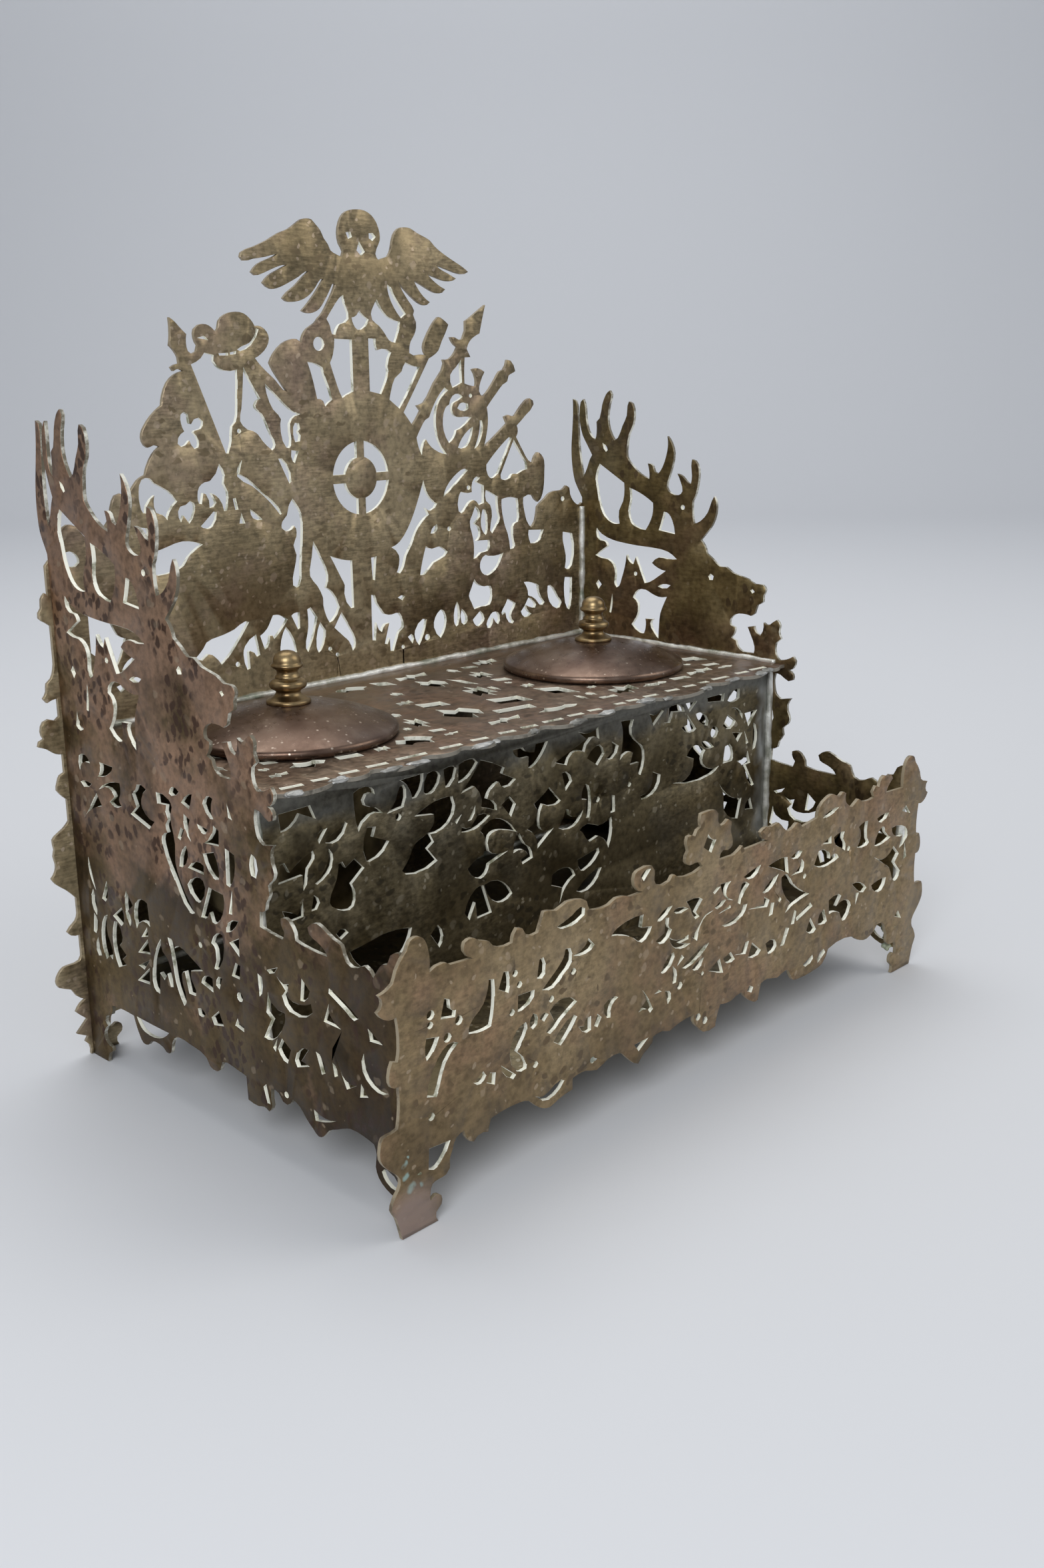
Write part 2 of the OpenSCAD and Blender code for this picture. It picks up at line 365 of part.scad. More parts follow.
// Back plate: cuts in the grass and bushes at the lower right
back_cuts_low_right = [
  [[166.3,131.5], [167.3,132.9], [169,133.7], [170.5,133.1], [177.8,133.5,1], [176.5,131.5], [175,129],
   [172.5,127.3], [169.5,126.3], [167,127.5], [166,129.5]],
  [[163,125.5,1], [165,123.5], [168,122.5], [171,122.3], [171.8,120.8], [171.3,117], [170.5,115.8],
   [166,115.5], [162.8,115], [161.5,117.5], [160.3,120], [161.5,122.5]],
  [[165.6,114,1], [167,112.8], [167.7,111], [166.5,109.3], [164.8,108.5], [163,109.5], [162,111.3]],
  [[168.8,108.8], [170.3,111.3], [172,112.7], [174.7,112.3], [175.6,109.5], [174.6,108.1], [173.4,109],
   [172.3,110.6,1], [171.6,108.5], [170.6,107.3], [169.3,107.4]],
  [[179.7,116.7], [181.5,115.8], [183.7,114.6,1], [182.8,112.8], [181.3,110.3], [182.8,108], [182,107.4],
   [180.3,108], [178.5,111.8], [176.8,111.2], [176.5,112], [178.3,114.5]],
  [[188.3,121.8,1], [191,121.6], [194.5,120.6], [196,119.8,1], [196.3,117.5], [199.3,113.2],
   [198.2,112.3], [196.5,112.6], [194.8,114.5], [192.5,116], [190.5,116.8], [190.3,118.5]],
  [[190.5,115.8,1], [192.5,115], [194.6,112.8], [194,111.8], [192.3,112], [189.3,113.2,1], [190,111.5],
   [192,109.8], [190.5,109], [188.3,109], [186.6,111.2], [188.3,112.8]],
  [[201,119,1], [202.3,119.2], [207,114], [208.5,112], [207.5,110.3], [206,110], [202,113]],
  [[210.5,121.3], [214.3,120.8,1], [214.3,115], [213.8,110.5], [212.8,108.8], [211.8,109.3], [210,117]],
  [[209.4,138.3,1], [214.4,137.3,1], [214.3,125.5], [212.8,124.2], [210.5,124.8], [211,129.5],
   [209.4,135]],
  [[146.5,116.8], [148.3,115.8], [149.2,112.5], [146.3,106.9], [143.2,111], [143.8,114.3]],
  [[154.3,118.6], [155.1,117.3], [154.8,110.5], [153.8,110], [152.8,111.8]],
  [[156.6,115.8], [158.8,113.5], [159.3,111.5], [157.5,110.1], [156.4,111]]
];
// Round holes of the back plate: across, up, radius
back_dots = [
  [97.7,205.7,2.1], [162.7,188.6,0.7], [161,157.7,0.8], [209.3,150.5,0.9], [151.4,144.3,0.8],
  [60.5,110.3,0.8], [97,110,0.7], [100,107.7,0.7], [128.7,106.2,0.7], [66,180.6,0.7], [140,108,1.1]
];
// Edge of a side panel, drawn from the back plate forwards and up from the table
side_edge = [
  [0,0,1], [0,150.2,1], [-1,152], [-3.2,156], [-4.2,162], [-4.2,168], [-3.4,174], [-2.6,180], [-2.3,186],
  [-0.8,185.3], [-0.2,181], [-0.3,175], [-0.3,169], [0.3,163], [1.2,157.8,1], [3,161], [4.3,164.3],
  [5.3,166,1], [3.5,169.5], [1.8,173], [0.8,177], [0.8,181], [1.6,185], [2.6,186], [3.2,183], [3.3,179],
  [4,175], [5.3,172.5], [6.6,171.6,1], [7.1,174], [7,178,1], [8.5,179.3], [9.7,184], [11.5,187.8],
  [13.3,189.2], [14.2,187.8], [13.1,184], [12.5,179.5], [13.3,175.5], [15.8,171.6,1], [17.4,172.6],
  [19.5,176.8], [21.5,180.5], [21.8,184], [22.5,185.5], [24,184.8], [25,181], [24.4,177.3], [22.6,174],
  [21.8,170], [21.8,166], [24,163.4], [28,160.3], [32.4,158.6,1], [32.4,161], [31.6,164,1], [33.8,163.4],
  [34.8,161.2], [36.5,160.6], [38.4,163], [40,167], [40.7,170.5], [40.4,173.8], [42.3,171.5], [43.5,168],
  [42.8,163.5], [41.3,159.3], [40.5,156], [42.5,154], [46,153.6], [47.6,155], [46.8,158], [45.2,161,1],
  [47.5,160.2], [49.8,158.2], [51.3,157.7,1], [51.7,160.5], [51.3,164], [51.6,166.2], [53,165.8],
  [54.6,163], [54.6,159], [53.6,154.5], [52.2,151.8,1], [52.3,147], [53,144,1], [56,145.2], [59,148.3],
  [60.6,152.3], [61.6,154], [62.6,152], [62.6,148], [61,144], [58.5,141], [56.2,138.5,1], [58,136.5],
  [59,134,1], [62,132], [64.8,129.9], [67.5,130], [70.3,128.3], [73,127.6], [77,126.7], [80,125.2],
  [83.3,125.2], [84.6,123.6], [83.7,121.5], [83.6,119.3], [81.3,118], [80.3,115], [78.8,114,1],
  [75.5,114.4], [72,113.8], [70,111.8], [70.2,109.8,1], [72.2,109.2,1], [71.8,107], [70.6,105.4,1],
  [72.8,104.6,1], [73.6,102.5], [76,101,1], [80.5,101,1], [80.7,103.5], [79,107.3], [77.6,110,1],
  [80.2,110.6], [81.3,108.3], [83,107.6,1], [84,109.3], [84.2,112.3], [86.2,111.6], [88,112.8],
  [89.6,113.8], [91,112], [90.6,109.8], [91.6,107.5], [89.6,105.8,1], [89.6,102], [91.3,100,1],
  [94,100.6], [96.8,102], [97.9,100.5], [97,98], [95,97,1], [97,95.8], [97,93.8], [95.3,93.2], [92,95],
  [89.8,95.3], [89.3,93,1], [89.6,90], [90.3,88], [92.5,86.5,1], [96.6,87.3,1], [95.2,84.8], [95.4,82.5],
  [96.4,80], [95.5,78], [93.6,76.3], [94,74], [92.3,71.3], [91.8,69.3], [89.5,68.4,1], [89.2,64.3,1],
  [93,63.8], [98.5,63.3], [99.3,65.5,1], [98,67.5], [98,68.8], [100,69.3], [101.3,68.8], [103.3,66.3,1],
  [103.5,64.5], [106,64], [115.8,63.7,1], [114.5,65.3], [112,66.5], [109.3,67.5], [108.6,69.3],
  [110,70.5], [112.3,71.2], [115,70.2], [118,68.8], [121,68], [121.8,66], [122.8,64.2,1], [124.5,63.5],
  [127,64], [129.5,65.2], [132.5,63], [134.5,66], [136,67.5], [137.5,67.8], [138.8,70.5], [141.8,71.8,1],
  [141.8,8,1], [138,7.8], [134.5,8.8], [131.8,10.8], [130.8,13.5], [131.3,17], [130.5,19.3,1], [127,20],
  [122,20.2], [119.3,19.3], [116.5,18], [113.3,16.5], [111,14], [109,13.2], [107,14.5], [104.5,16.3],
  [102,18.8], [99,20], [97.8,18.3], [96.5,17.5], [94.8,17.8], [93.3,19.6], [90,19.8], [89.7,16.5],
  [90,14.8], [88.5,12.7], [86.5,13.3], [84,12.6], [79.5,12.9], [79.2,19.6,1], [76,20], [68.5,20],
  [67.3,17.5], [65.5,16.3], [62.5,16.8], [61,18.8], [53,20.3], [48,20.6], [45.5,19.5], [44,17],
  [43.3,14.4], [41,13.8], [39.5,14.8], [33.5,14.8], [31.5,13], [29,12.8], [27.5,14.5], [25,20,1],
  [17,20], [13.3,19.5,1], [12.5,16.5], [9.3,15], [8.6,13.3], [9.8,12], [8,10.3], [7.2,8], [8.3,6.2],
  [11.2,5.6], [11.3,4.3], [9.3,3], [8.3,0,1]
];
// Side panel: cuts in the antlers and heads above the shelf
side_cuts_top = [
  [[8.7,163,1], [15,159.6], [20.6,156.6,1], [20.2,150], [18.3,146.5], [18.6,141.8,1], [16,141.6],
   [13,142.6], [10.5,145], [8.5,149.5], [7.6,154], [6.8,157], [7.5,160.5]],
  [[23.3,155,1], [30,152.6], [34.3,150.2,1], [34.3,147], [33.6,144.5], [31,140.2,1], [26,141.3],
   [24,142.8], [22.8,146.5], [23.7,150.5]],
  [[39.5,147.3], [41.5,146.8], [43.3,144.5], [44.6,139.8,1], [37.3,140.7,1], [39,145.5]],
  [[10,170.5], [11.5,169.8], [12.6,168], [11.8,167.5], [10.5,168.8]],
  [[7.6,139.3,1], [10,137.3], [15,135.6], [21,134.8], [28,134.3], [36,134], [41.5,133.2], [45.6,130.9,1],
   [41.5,130.6], [37.5,130.9], [34.2,128.6,1], [37,127], [40.6,126.2,1], [37,123.8], [33.5,121.7],
   [31,121,1], [29.3,124.5], [27.8,127.5], [26.6,130.2,1], [25.4,127.4], [23.6,128.3], [22.1,130.5,1],
   [21.3,126], [19.8,121.5], [18.6,118.6], [17.4,118], [16.4,119.8], [16.8,123], [15.8,126.3],
   [13,128.2], [10,128.4], [7,129.3,1], [9.8,131.2], [12.8,133,1], [11.5,134.8], [9.3,135], [7.6,136.3]],
  [[37.4,120.3], [39.5,121.3], [43,121.2,1], [41.5,120]],
  [[26.5,117], [28,118.2], [31.5,118.5], [34,117.5], [37.5,116.5], [41.4,116.8,1], [40,114],
   [38.5,110.5], [38,106], [37.8,101.3,1], [35.8,103], [34,106.3], [35.2,108,1], [31.5,107.8],
   [31.8,105.5], [31,102.3,1], [29,102.3], [25,105,1], [26.8,107.5], [28,110.5], [27.8,113], [25.6,115,1]],
  [[7.3,118.5], [8.5,120], [10,118.5], [8.5,116.6]],
  [[15.3,115.5], [15.5,112], [14.8,108.3], [14,108.5]],
  [[8.5,107.5], [9,105], [11.3,102.5], [9.5,101.8], [7.3,103]],
  [[60,126], [61,127], [62.3,126.3], [62,125], [60.5,124.9]],
  [[78.2,122.8], [79.2,123.3], [80,122.5], [79,121.9]]
];
// Side panel: cuts in the low front part beside the pen tray
side_cuts_front = [
  [[86.8,19.2], [88,20.2], [89.3,15], [88.2,15]],
  [[107.5,20.3], [112,19.3], [116.3,20.2,1], [112,18.3], [108,17.3]],
  [[133,13], [134.5,10.8], [138,9.8], [139.5,11.5], [135,14.2]],
  [[86.5,80], [87.5,83], [89.3,82], [88.8,77], [87,77.3]],
  [[87.2,51], [88.8,50.5], [88.5,46], [87.5,45]],
  [[91,47.3], [92.3,44.5], [97.6,43.3], [97.3,40.5], [91.5,34], [88.5,33.8], [92,39.8], [89.8,41.2]],
  [[93.9,35.2], [93,31.4], [92,32.2]],
  [[96,35.8], [99.3,33.8], [97.8,29.7], [96,30], [94,32.3]],
  [[91.3,53.2], [95.5,55,1], [92.3,52.6]],
  [[95,52.8], [98,51.2], [99.8,51.8], [98.8,48.5], [101,47.5], [108.5,49.2], [109,47], [100,44.4],
   [97,48], [98.5,49.8]],
  [[105.2,55], [108.3,52.5], [105.8,49], [104.3,48.8]],
  [[115.5,51.5], [115.8,48.5], [119.8,46], [113.2,46]],
  [[116,55.5], [118,55], [122,53.5], [126.5,51], [125,50], [122,51.5], [115.8,54.3]],
  [[129.8,49.5], [134.8,47,1], [130.5,46.5]],
  [[128,42.5], [129,38], [131,36], [136.5,34.8], [132.5,33.8], [127.3,37.5]],
  [[106.5,36.2], [103.5,32.2], [106.5,31.8], [101.8,30], [101,31.5], [104,35.8]],
  [[109.5,36.8], [111,36.5], [113,32], [111.5,31.2]],
  [[115.8,36], [117,35.5], [117.8,33], [116.5,32.3]],
  [[118.5,35.5], [120.8,32.8], [124.8,32.8,1], [121,30.5]],
  [[126.5,34], [129,31.3], [126,30.3]]
];
// Side panel: cuts beside the box
side_cuts_box = [
  [[7.3,90.3], [7.5,94.3], [9,95], [11.5,94.6], [12.9,93.1,1], [8.5,92.2]],
  [[18,94.2], [24.8,94,1], [23.5,92.3], [16.4,89.8,1], [18.3,91.8]],
  [[7.2,86.6], [9.5,87.2], [12.9,87,1], [8.8,85.4]],
  [[15,84.8,1], [17.5,81.5,1], [11,79], [8.2,77,1], [12.8,82]],
  [[27.8,90,1], [27.8,87], [26.8,85.3], [27.9,83.5], [24,82.6], [22,83.5], [24.8,85.5], [22,87.5],
   [17.3,86.5,1], [20.5,88.5]],
  [[36.5,91.2], [41,90.8,1], [38.3,87.5], [38.5,85], [44,82.3], [41.3,79.8,1], [32.5,82.3], [35.5,84.8],
   [33.8,88.2], [35.5,89.5]],
  [[46,91], [51.8,90], [53,88.3], [52,86], [53.3,78], [52.8,73], [54.5,68.3], [60.3,60.6,1], [58,60.2],
   [52,67.8], [47.2,76.8], [47.5,79.3], [50,80.6,1], [49.3,82.7], [50.8,84.6], [49.8,86.6], [50.3,88.3],
   [46.3,88]],
  [[52.3,92], [54,94], [56.8,93.2,1], [53.5,91.5]],
  [[62.8,93.7], [61.3,93.5], [57.5,90.5], [61,89.3], [61.8,91]],
  [[69.3,94.4], [72,94.4], [71,91], [71.8,89], [70.3,88.8], [67.5,92]],
  [[58.3,87.6], [61,86.5], [60,83], [60.8,80.8], [58.5,83.5]],
  [[64.5,86], [69,85.5], [68,84.2], [66,84.2]],
  [[71.5,87.2], [73.8,86.2], [73.5,82], [67,81.5], [70.8,84.8]],
  [[56.5,83.5], [58,83], [56,79.8], [54.7,80.3]],
  [[58.5,78.7], [59,76], [56,72.3], [54.8,72.3], [56.8,77.5]],
  [[66,78.3], [71,79.8], [72.8,75], [72.5,72.8], [70,72.8]],
  [[76.3,82], [80,81.2], [79.5,75.5], [77.3,72], [76,72.3]],
  [[63,75.5], [66,75], [65.8,72.5], [58.8,72.8]],
  [[62,71], [65.2,70.7], [66,69], [63.5,64.5], [61.3,64.2], [58,68]],
  [[67.8,69.5], [74,69], [74,65.5], [70.3,60.2], [68.3,60], [67.3,62.5], [65.3,60.3], [63.4,60.2]],
  [[78,70.5], [77.5,64.6], [76.2,64.5]],
  [[80,63.3], [77,60], [74.5,59], [75.3,61.5]],
  [[79.8,58.5], [79.5,53.6], [75.6,56.3]],
  [[70,57.3], [72.5,57.5], [70,47.5], [68,47], [69,52.5], [67.3,54]],
  [[77.5,51.3], [79.6,51], [79,47], [75.5,47]],
  [[69.5,45], [71,45], [69.5,41.6], [68.2,42.3]],
  [[63,43.3], [66.5,43.6], [66.5,39.8], [61.3,41]],
  [[77,35.3], [77.8,34], [79.6,33.8], [79.5,32.3], [75.8,33]],
  [[68.5,34.8], [70.3,31.2], [66,30.2], [65,32]],
  [[58.5,32.5], [60,33.1], [62,32], [61,30.8], [58.8,30.8]],
  [[16.3,58.7], [16.3,54.5], [14.8,52.3], [13.2,52.8]],
  [[7.2,64.5,1], [9.9,55,1], [7.5,59.5]],
  [[8.5,54.5], [9.8,50], [9.3,46.7], [7,50]],
  [[8,47], [9.5,45], [8,41], [6.9,41.3]],
  [[8.8,40], [10,34.5], [8.2,34.1], [7.3,35.5]],
  [[15.2,48.3], [14.3,45], [14.5,42], [16.5,38], [16,35], [14.8,35.8], [12.6,34], [11,40], [13.5,47.5]],
  [[20.2,47.5], [22.5,43.5], [20.5,40.5], [23.8,38.3], [21.5,36.5], [23.3,35.3], [19.3,33.5], [17.2,40],
   [18.8,47.3]],
  [[23.4,52.6], [24,48.8], [22.5,47], [18.5,49]],
  [[26.5,58.3], [29.4,54.8], [26.5,52.5], [28,50], [27,48], [25.3,54.3]],
  [[34,57.8], [37,57.3], [37.6,50.5], [34,51.5], [30.6,48.3], [31,56]],
  [[36,49.9,1], [36.2,47.5,1], [33,46.5,1]],
  [[35.8,46.3,1], [36.6,42.3,1], [30.6,41.2,1]],
  [[36,40.2,1], [33,36.7,1], [30.2,37.2,1]],
  [[35.6,37.6,1], [35.2,32.8,1], [29.2,32.3,1]],
  [[42.5,48.2], [43,44.8], [45.3,43.3], [47.2,35.6], [46,35.3], [44.8,38.8], [43,36.5], [41,38],
   [40,31.3], [37.5,32.5], [37.5,38.5], [38.6,42.3]],
  [[46.3,49.8], [48,49.8], [49.3,47.5], [51.2,48.6], [57,46.8], [62,44.6], [56.5,43], [56.3,40.5],
   [58.3,37.8], [58,36.2], [55,36], [53.5,42], [51.8,40.5], [53.3,33.2], [52,31.5], [48.8,37.5], [48,43]],
  [[26.5,20.3], [28.5,17.5], [30.5,16.6], [37.5,16.9], [43,20.3], [33,20.2]],
  [[78.3,94], [80,90.5], [78.6,90.8]]
];
// Round holes of a side panel
side_dots = [
  [48,149.4,0.8], [26.6,124,0.7], [78.7,42,1.2], [62,52,0.7], [96.6,20.4,0.8]
];
// Left side of the gallery from its foot up to the leaf on its corner
gallery_side = [
  [-3,0,1], [-3.7,3], [-4.7,6.3], [-6,8.8], [-5.2,11.2], [-3.6,13.3,1], [-3,16], [-5,18.5], [-7.3,20.8],
  [-8.8,23.3], [-8.7,26.5], [-7.8,28.6], [-5,28.8], [-3.2,29.2,1], [-2.5,34], [-2.6,39.8,1], [-4.8,40.4],
  [-5.4,43], [-4.2,46.6], [-2.6,46,1], [-2,49], [-2.6,57.3,1], [-5,57.2], [-7.2,58.6], [-8.2,60],
  [-6.6,61.8], [-7.6,64,1], [-5,64.6], [-3.3,65.6], [-2.2,68.3], [-0.5,70.8], [1,72.3], [2,74.2],
  [4,74.9], [6.2,74], [7.5,71.5], [7.9,65,1]
];
// Top edge of the gallery from left to right, with its birds and leaves
gallery_top = [
  [12.3,66], [14.5,64.9,1], [21.8,64.3,1], [19,66.8], [19.3,69], [21.8,69.5], [24,68.2], [27.3,67],
  [28.8,65.3], [35.3,64.3,1], [35.8,66.3], [37,67.6], [38.8,67], [40,65], [44.3,64.3,1], [45.3,66.5],
  [46.5,69.2], [48.5,69], [51,68.3], [55,69.5], [59.5,69], [62.3,67.8], [63.3,65.3], [66,64.5],
  [71,64.3], [74,65.4], [79.5,64.3,1], [84.8,64.2,1], [81.3,66.8], [81.5,70], [83.5,70.8], [88.5,70.6],
  [89.7,69], [89.5,66.2], [90.3,64.8], [96.2,64.3,1], [97.3,65.5], [98.3,65.6], [99.8,64.5],
  [110.8,64.8,1], [109.5,66.3], [107,66.7], [104.8,66.6], [103,68], [103.2,69.6], [104.2,70.8],
  [103.3,73], [103.8,75], [105.3,75.2], [107,74.5,1], [108,76], [109.6,76.5], [109.2,78.5], [109.6,80.3],
  [112,80.4], [116,80], [117.2,78.8], [117.3,76.3], [118.6,74.8], [120.3,75], [122,76], [123.6,75],
  [123.3,72.5], [124.2,70], [124.3,67.8], [122.3,66.8], [120,67.3], [118.8,66.6], [118.2,64.8,1],
  [125,64.6,1], [127,65.2], [129.3,66.4], [130.2,65,1], [141.8,65,1], [139,66.5], [138,68.3],
  [140.5,69.3], [143.5,68.8], [147,69.2], [149.5,67], [152,65.3,1], [155,66], [156.8,67], [159.5,65,1],
  [167.5,66,1], [168.5,69], [172.5,71.3], [175,71.8], [177.5,71], [179,70], [181,71.2], [183,70.5],
  [183,68], [184.5,66.5,1], [187,65.2], [190.5,67], [192.5,65.8], [200,65.5,1], [198.8,67.5],
  [200.5,69.2], [202.5,68.3], [204,71], [205.5,71.6], [207.5,70.8], [209,71.2], [210.5,69.5], [208,67.5],
  [206.8,65.5,1]
];
// Lower edge of the gallery and the back plate from the left foot to the right one
apron = [
  [8.5,0,1], [8,2.5], [9.8,4], [9.8,6.3], [8,7.2], [6.3,6.3], [6.3,8.5], [7,10.5], [9,11], [11.5,11.2],
  [12.8,12.5], [12.8,14.8], [13.8,17], [15,19.5], [17.8,20.5,1], [19.5,17], [21,16.2], [22.3,17.3],
  [26,16.9], [26.3,18.5], [27,20.2,1], [37,20.6], [40.5,19.8], [43,17.5], [45.5,15.8], [48.3,15],
  [51.5,16], [57,16.8], [57,20,1], [62,20.3], [66.5,18.9], [71,20.4], [76,20.5], [78,19], [82,15.3],
  [83.8,14.5], [86,16.7], [89.7,18.7], [90,20.3,1], [94,20.7], [97.5,19.6], [100.3,20.4], [108.5,20.9,1],
  [108.3,18.8], [111,15.8], [113,14], [118.6,13.8], [119,16], [120.7,20,1], [126,19.4], [131,20.5],
  [133,18.5], [137.5,15.3], [139.5,15.3], [140.8,20.2,1], [144,20.7], [149.5,19.4], [154.5,20.5],
  [156.5,18], [158,16], [161,15.5], [171,15.8], [174,16.5], [177,20.5,1], [191,20.7], [194,18.8],
  [200,17.3], [206,20.5,1]
];
// Gallery: cuts in the left third
gallery_cuts_left = [
  [[12.3,57], [13.8,56.3], [14,54], [15.8,53], [15.5,51.4], [11,52.3]],
  [[27,57.2], [28.6,56.8], [28.6,50], [27.5,45], [24.5,44.7], [20,45.3], [20.3,47.5], [25,51.5]],
  [[32,57.6], [33.5,57.3], [34,53.3], [33.5,51.7], [30.2,53.6]],
  [[44.7,57], [46,57.2], [46.7,52.8], [45.5,51.8], [43.8,52.3]],
  [[54.3,57], [56,56.7], [56.6,53], [53,50], [50,48], [45.5,48.5], [49,51], [53.3,54.5]],
  [[63,57.3], [65.2,55], [64,54], [57.5,54.3], [61.5,55.5]],
  [[37,49.8], [42.7,49.5], [42.5,47.8], [38.3,45.4], [36.8,45.5]],
  [[6.3,48.8], [10.2,48], [8.3,44.8], [6.3,43.2], [5.8,44.8]],
  [[13,45], [16.4,44.3], [12.2,40.5], [10,35], [9,33], [6,34], [8.3,40.5]],
  [[39.5,41.8], [40,39.8], [37.8,36.5], [36.5,34.8], [39.7,30.3], [39.5,29.1], [36.3,29.5], [33.8,34.8],
   [36.3,40.5]],
  [[42.3,43.2], [43.5,42.5], [43.8,39.8], [42.3,39], [41,40.8]],
  [[44.7,41], [46.5,42.2], [48,41.2], [46.3,39.7]],
  [[46.9,36.6], [48.5,35.5], [52.5,38], [58.7,41.2,1], [54,43.8], [48.3,41.8], [50,38.8]],
  [[57.3,37.8], [58.6,37], [54.5,32.5], [52.5,31], [49.8,32.9], [52.5,35.5]],
  [[59.5,33.7], [61.5,33.3], [62.5,35.3], [64,35.3], [64,31.3], [62.5,31]],
  [[66.6,35], [68.2,33.6], [66.6,31.3], [65.4,32]],
  [[69.3,36.6], [73,37.8], [75,37], [72.5,35.5], [71.8,32.3], [70.6,32.5]],
  [[21.3,32], [24.5,33.8], [25.5,32.3], [23.8,30.9]],
  [[26.8,32.6], [28.7,32], [28.3,28.9], [25.6,30.3]],
  [[30.8,33], [35.8,28.8], [34.8,28], [31,31.5]],
  [[51.3,63.9], [57,65.5], [60,66.8], [61.7,66], [61.5,64.2], [53.5,62.8]]
];
// Gallery: cuts in the middle third
gallery_cuts_middle = [
  [[72,55.3], [74.5,56.9], [85,57.7], [84.3,54.2], [88.8,53.3], [88,51.8], [84.5,50], [81,52.3],
   [77.5,54]],
  [[91,54], [93.3,56.3], [97.6,56.8], [93,54]],
  [[94.5,54], [96,53.7], [95.8,51.8], [97.3,50], [94,47], [90.5,48.5], [94.3,49.8]],
  [[98,55], [100,55.5], [104.5,54], [99,54.2]],
  [[103.8,56.3], [109.5,55.9], [111,55], [108,52], [109.8,50.3], [108,50], [105.5,54]],
  [[96.5,47.7,1], [99.8,46], [104.8,46.2], [104.8,44.9], [101,44.8], [105.5,43.4,1], [101,43.2],
   [98,44.8]],
  [[106.8,44.9], [110.3,48.2], [112,49.8], [115.3,50.3], [111.5,48.8], [108.8,43.4]],
  [[93,38.5], [96,42], [98.5,43], [99,41.5], [95,38]],
  [[98.2,38.7], [99.6,37.3], [99.8,33.5], [98.3,33.5]],
  [[100.3,38.5], [102,41], [103,40]],
  [[102.3,37], [107,39.3], [112,40.8], [114.3,41], [113,39.8], [104,36.3]],
  [[106.8,35.3], [110,37], [112.3,37.2], [109.3,34.3]],
  [[85.5,35.3], [88,32], [89.7,29], [88.5,28.2], [86.8,29.8], [83.8,30], [87,32.5]],
  [[90.3,33], [92,33.7], [93.3,32.8]],
  [[95,32.3], [96.8,31.8], [97.7,29.3], [96.3,28.1]],
  [[115.8,55.8], [117.5,56.8], [119,56.6], [116.5,55.2]],
  [[119.3,57.3], [124,57], [122,55], [122.3,53], [124.5,51.3], [121.3,53]],
  [[116.8,51], [121,52.2], [122,51.8], [118,50.2]],
  [[119.5,48.7], [124,49.7], [124.3,49]],
  [[120.5,44.5], [127,45.2], [129.5,46], [130.3,48], [132.3,47.8], [130,44.7], [121.5,43.9]],
  [[129.5,54.8], [131.5,54.8], [133,53.8], [129.5,50.5], [129,48.7], [127.7,49.5]],
  [[130.3,56.6], [135,57.8], [138.8,58.3], [135,55.3]],
  [[140,49.3], [143.5,51.8], [147.7,53], [142.5,48.9]],
  [[134.3,45.8], [141,45.3], [141,47.6], [143.5,46], [142.5,44.2]],
  [[144.5,44.8], [146,44.5], [145.3,41], [143.6,40.8]],
  [[142.3,56.8], [149,57.7], [152,57.3], [153,52], [148.5,54.3]],
  [[114.7,32.3], [117,33.3], [119.7,34.5], [121.5,29.8], [118.3,30.8]],
  [[121.5,34], [125,35], [127,32.3], [123.5,32]],
  [[128.3,33.3], [130.5,33], [132,35.8], [134,35.8], [132.5,32.3]],
  [[135.5,34.8], [140,31.2], [138.5,30], [133.8,30.8]],
  [[142.5,32.5], [147.3,32.3], [148.3,30], [147,28.9], [144,28.7]],
  [[112.8,73.6,1], [114.3,72], [116.6,71.2,1], [114.5,67.9,1], [110.9,70.3,1]],
  [[83.8,68.8], [85.5,70], [87.8,69.9], [85,67.3]]
];
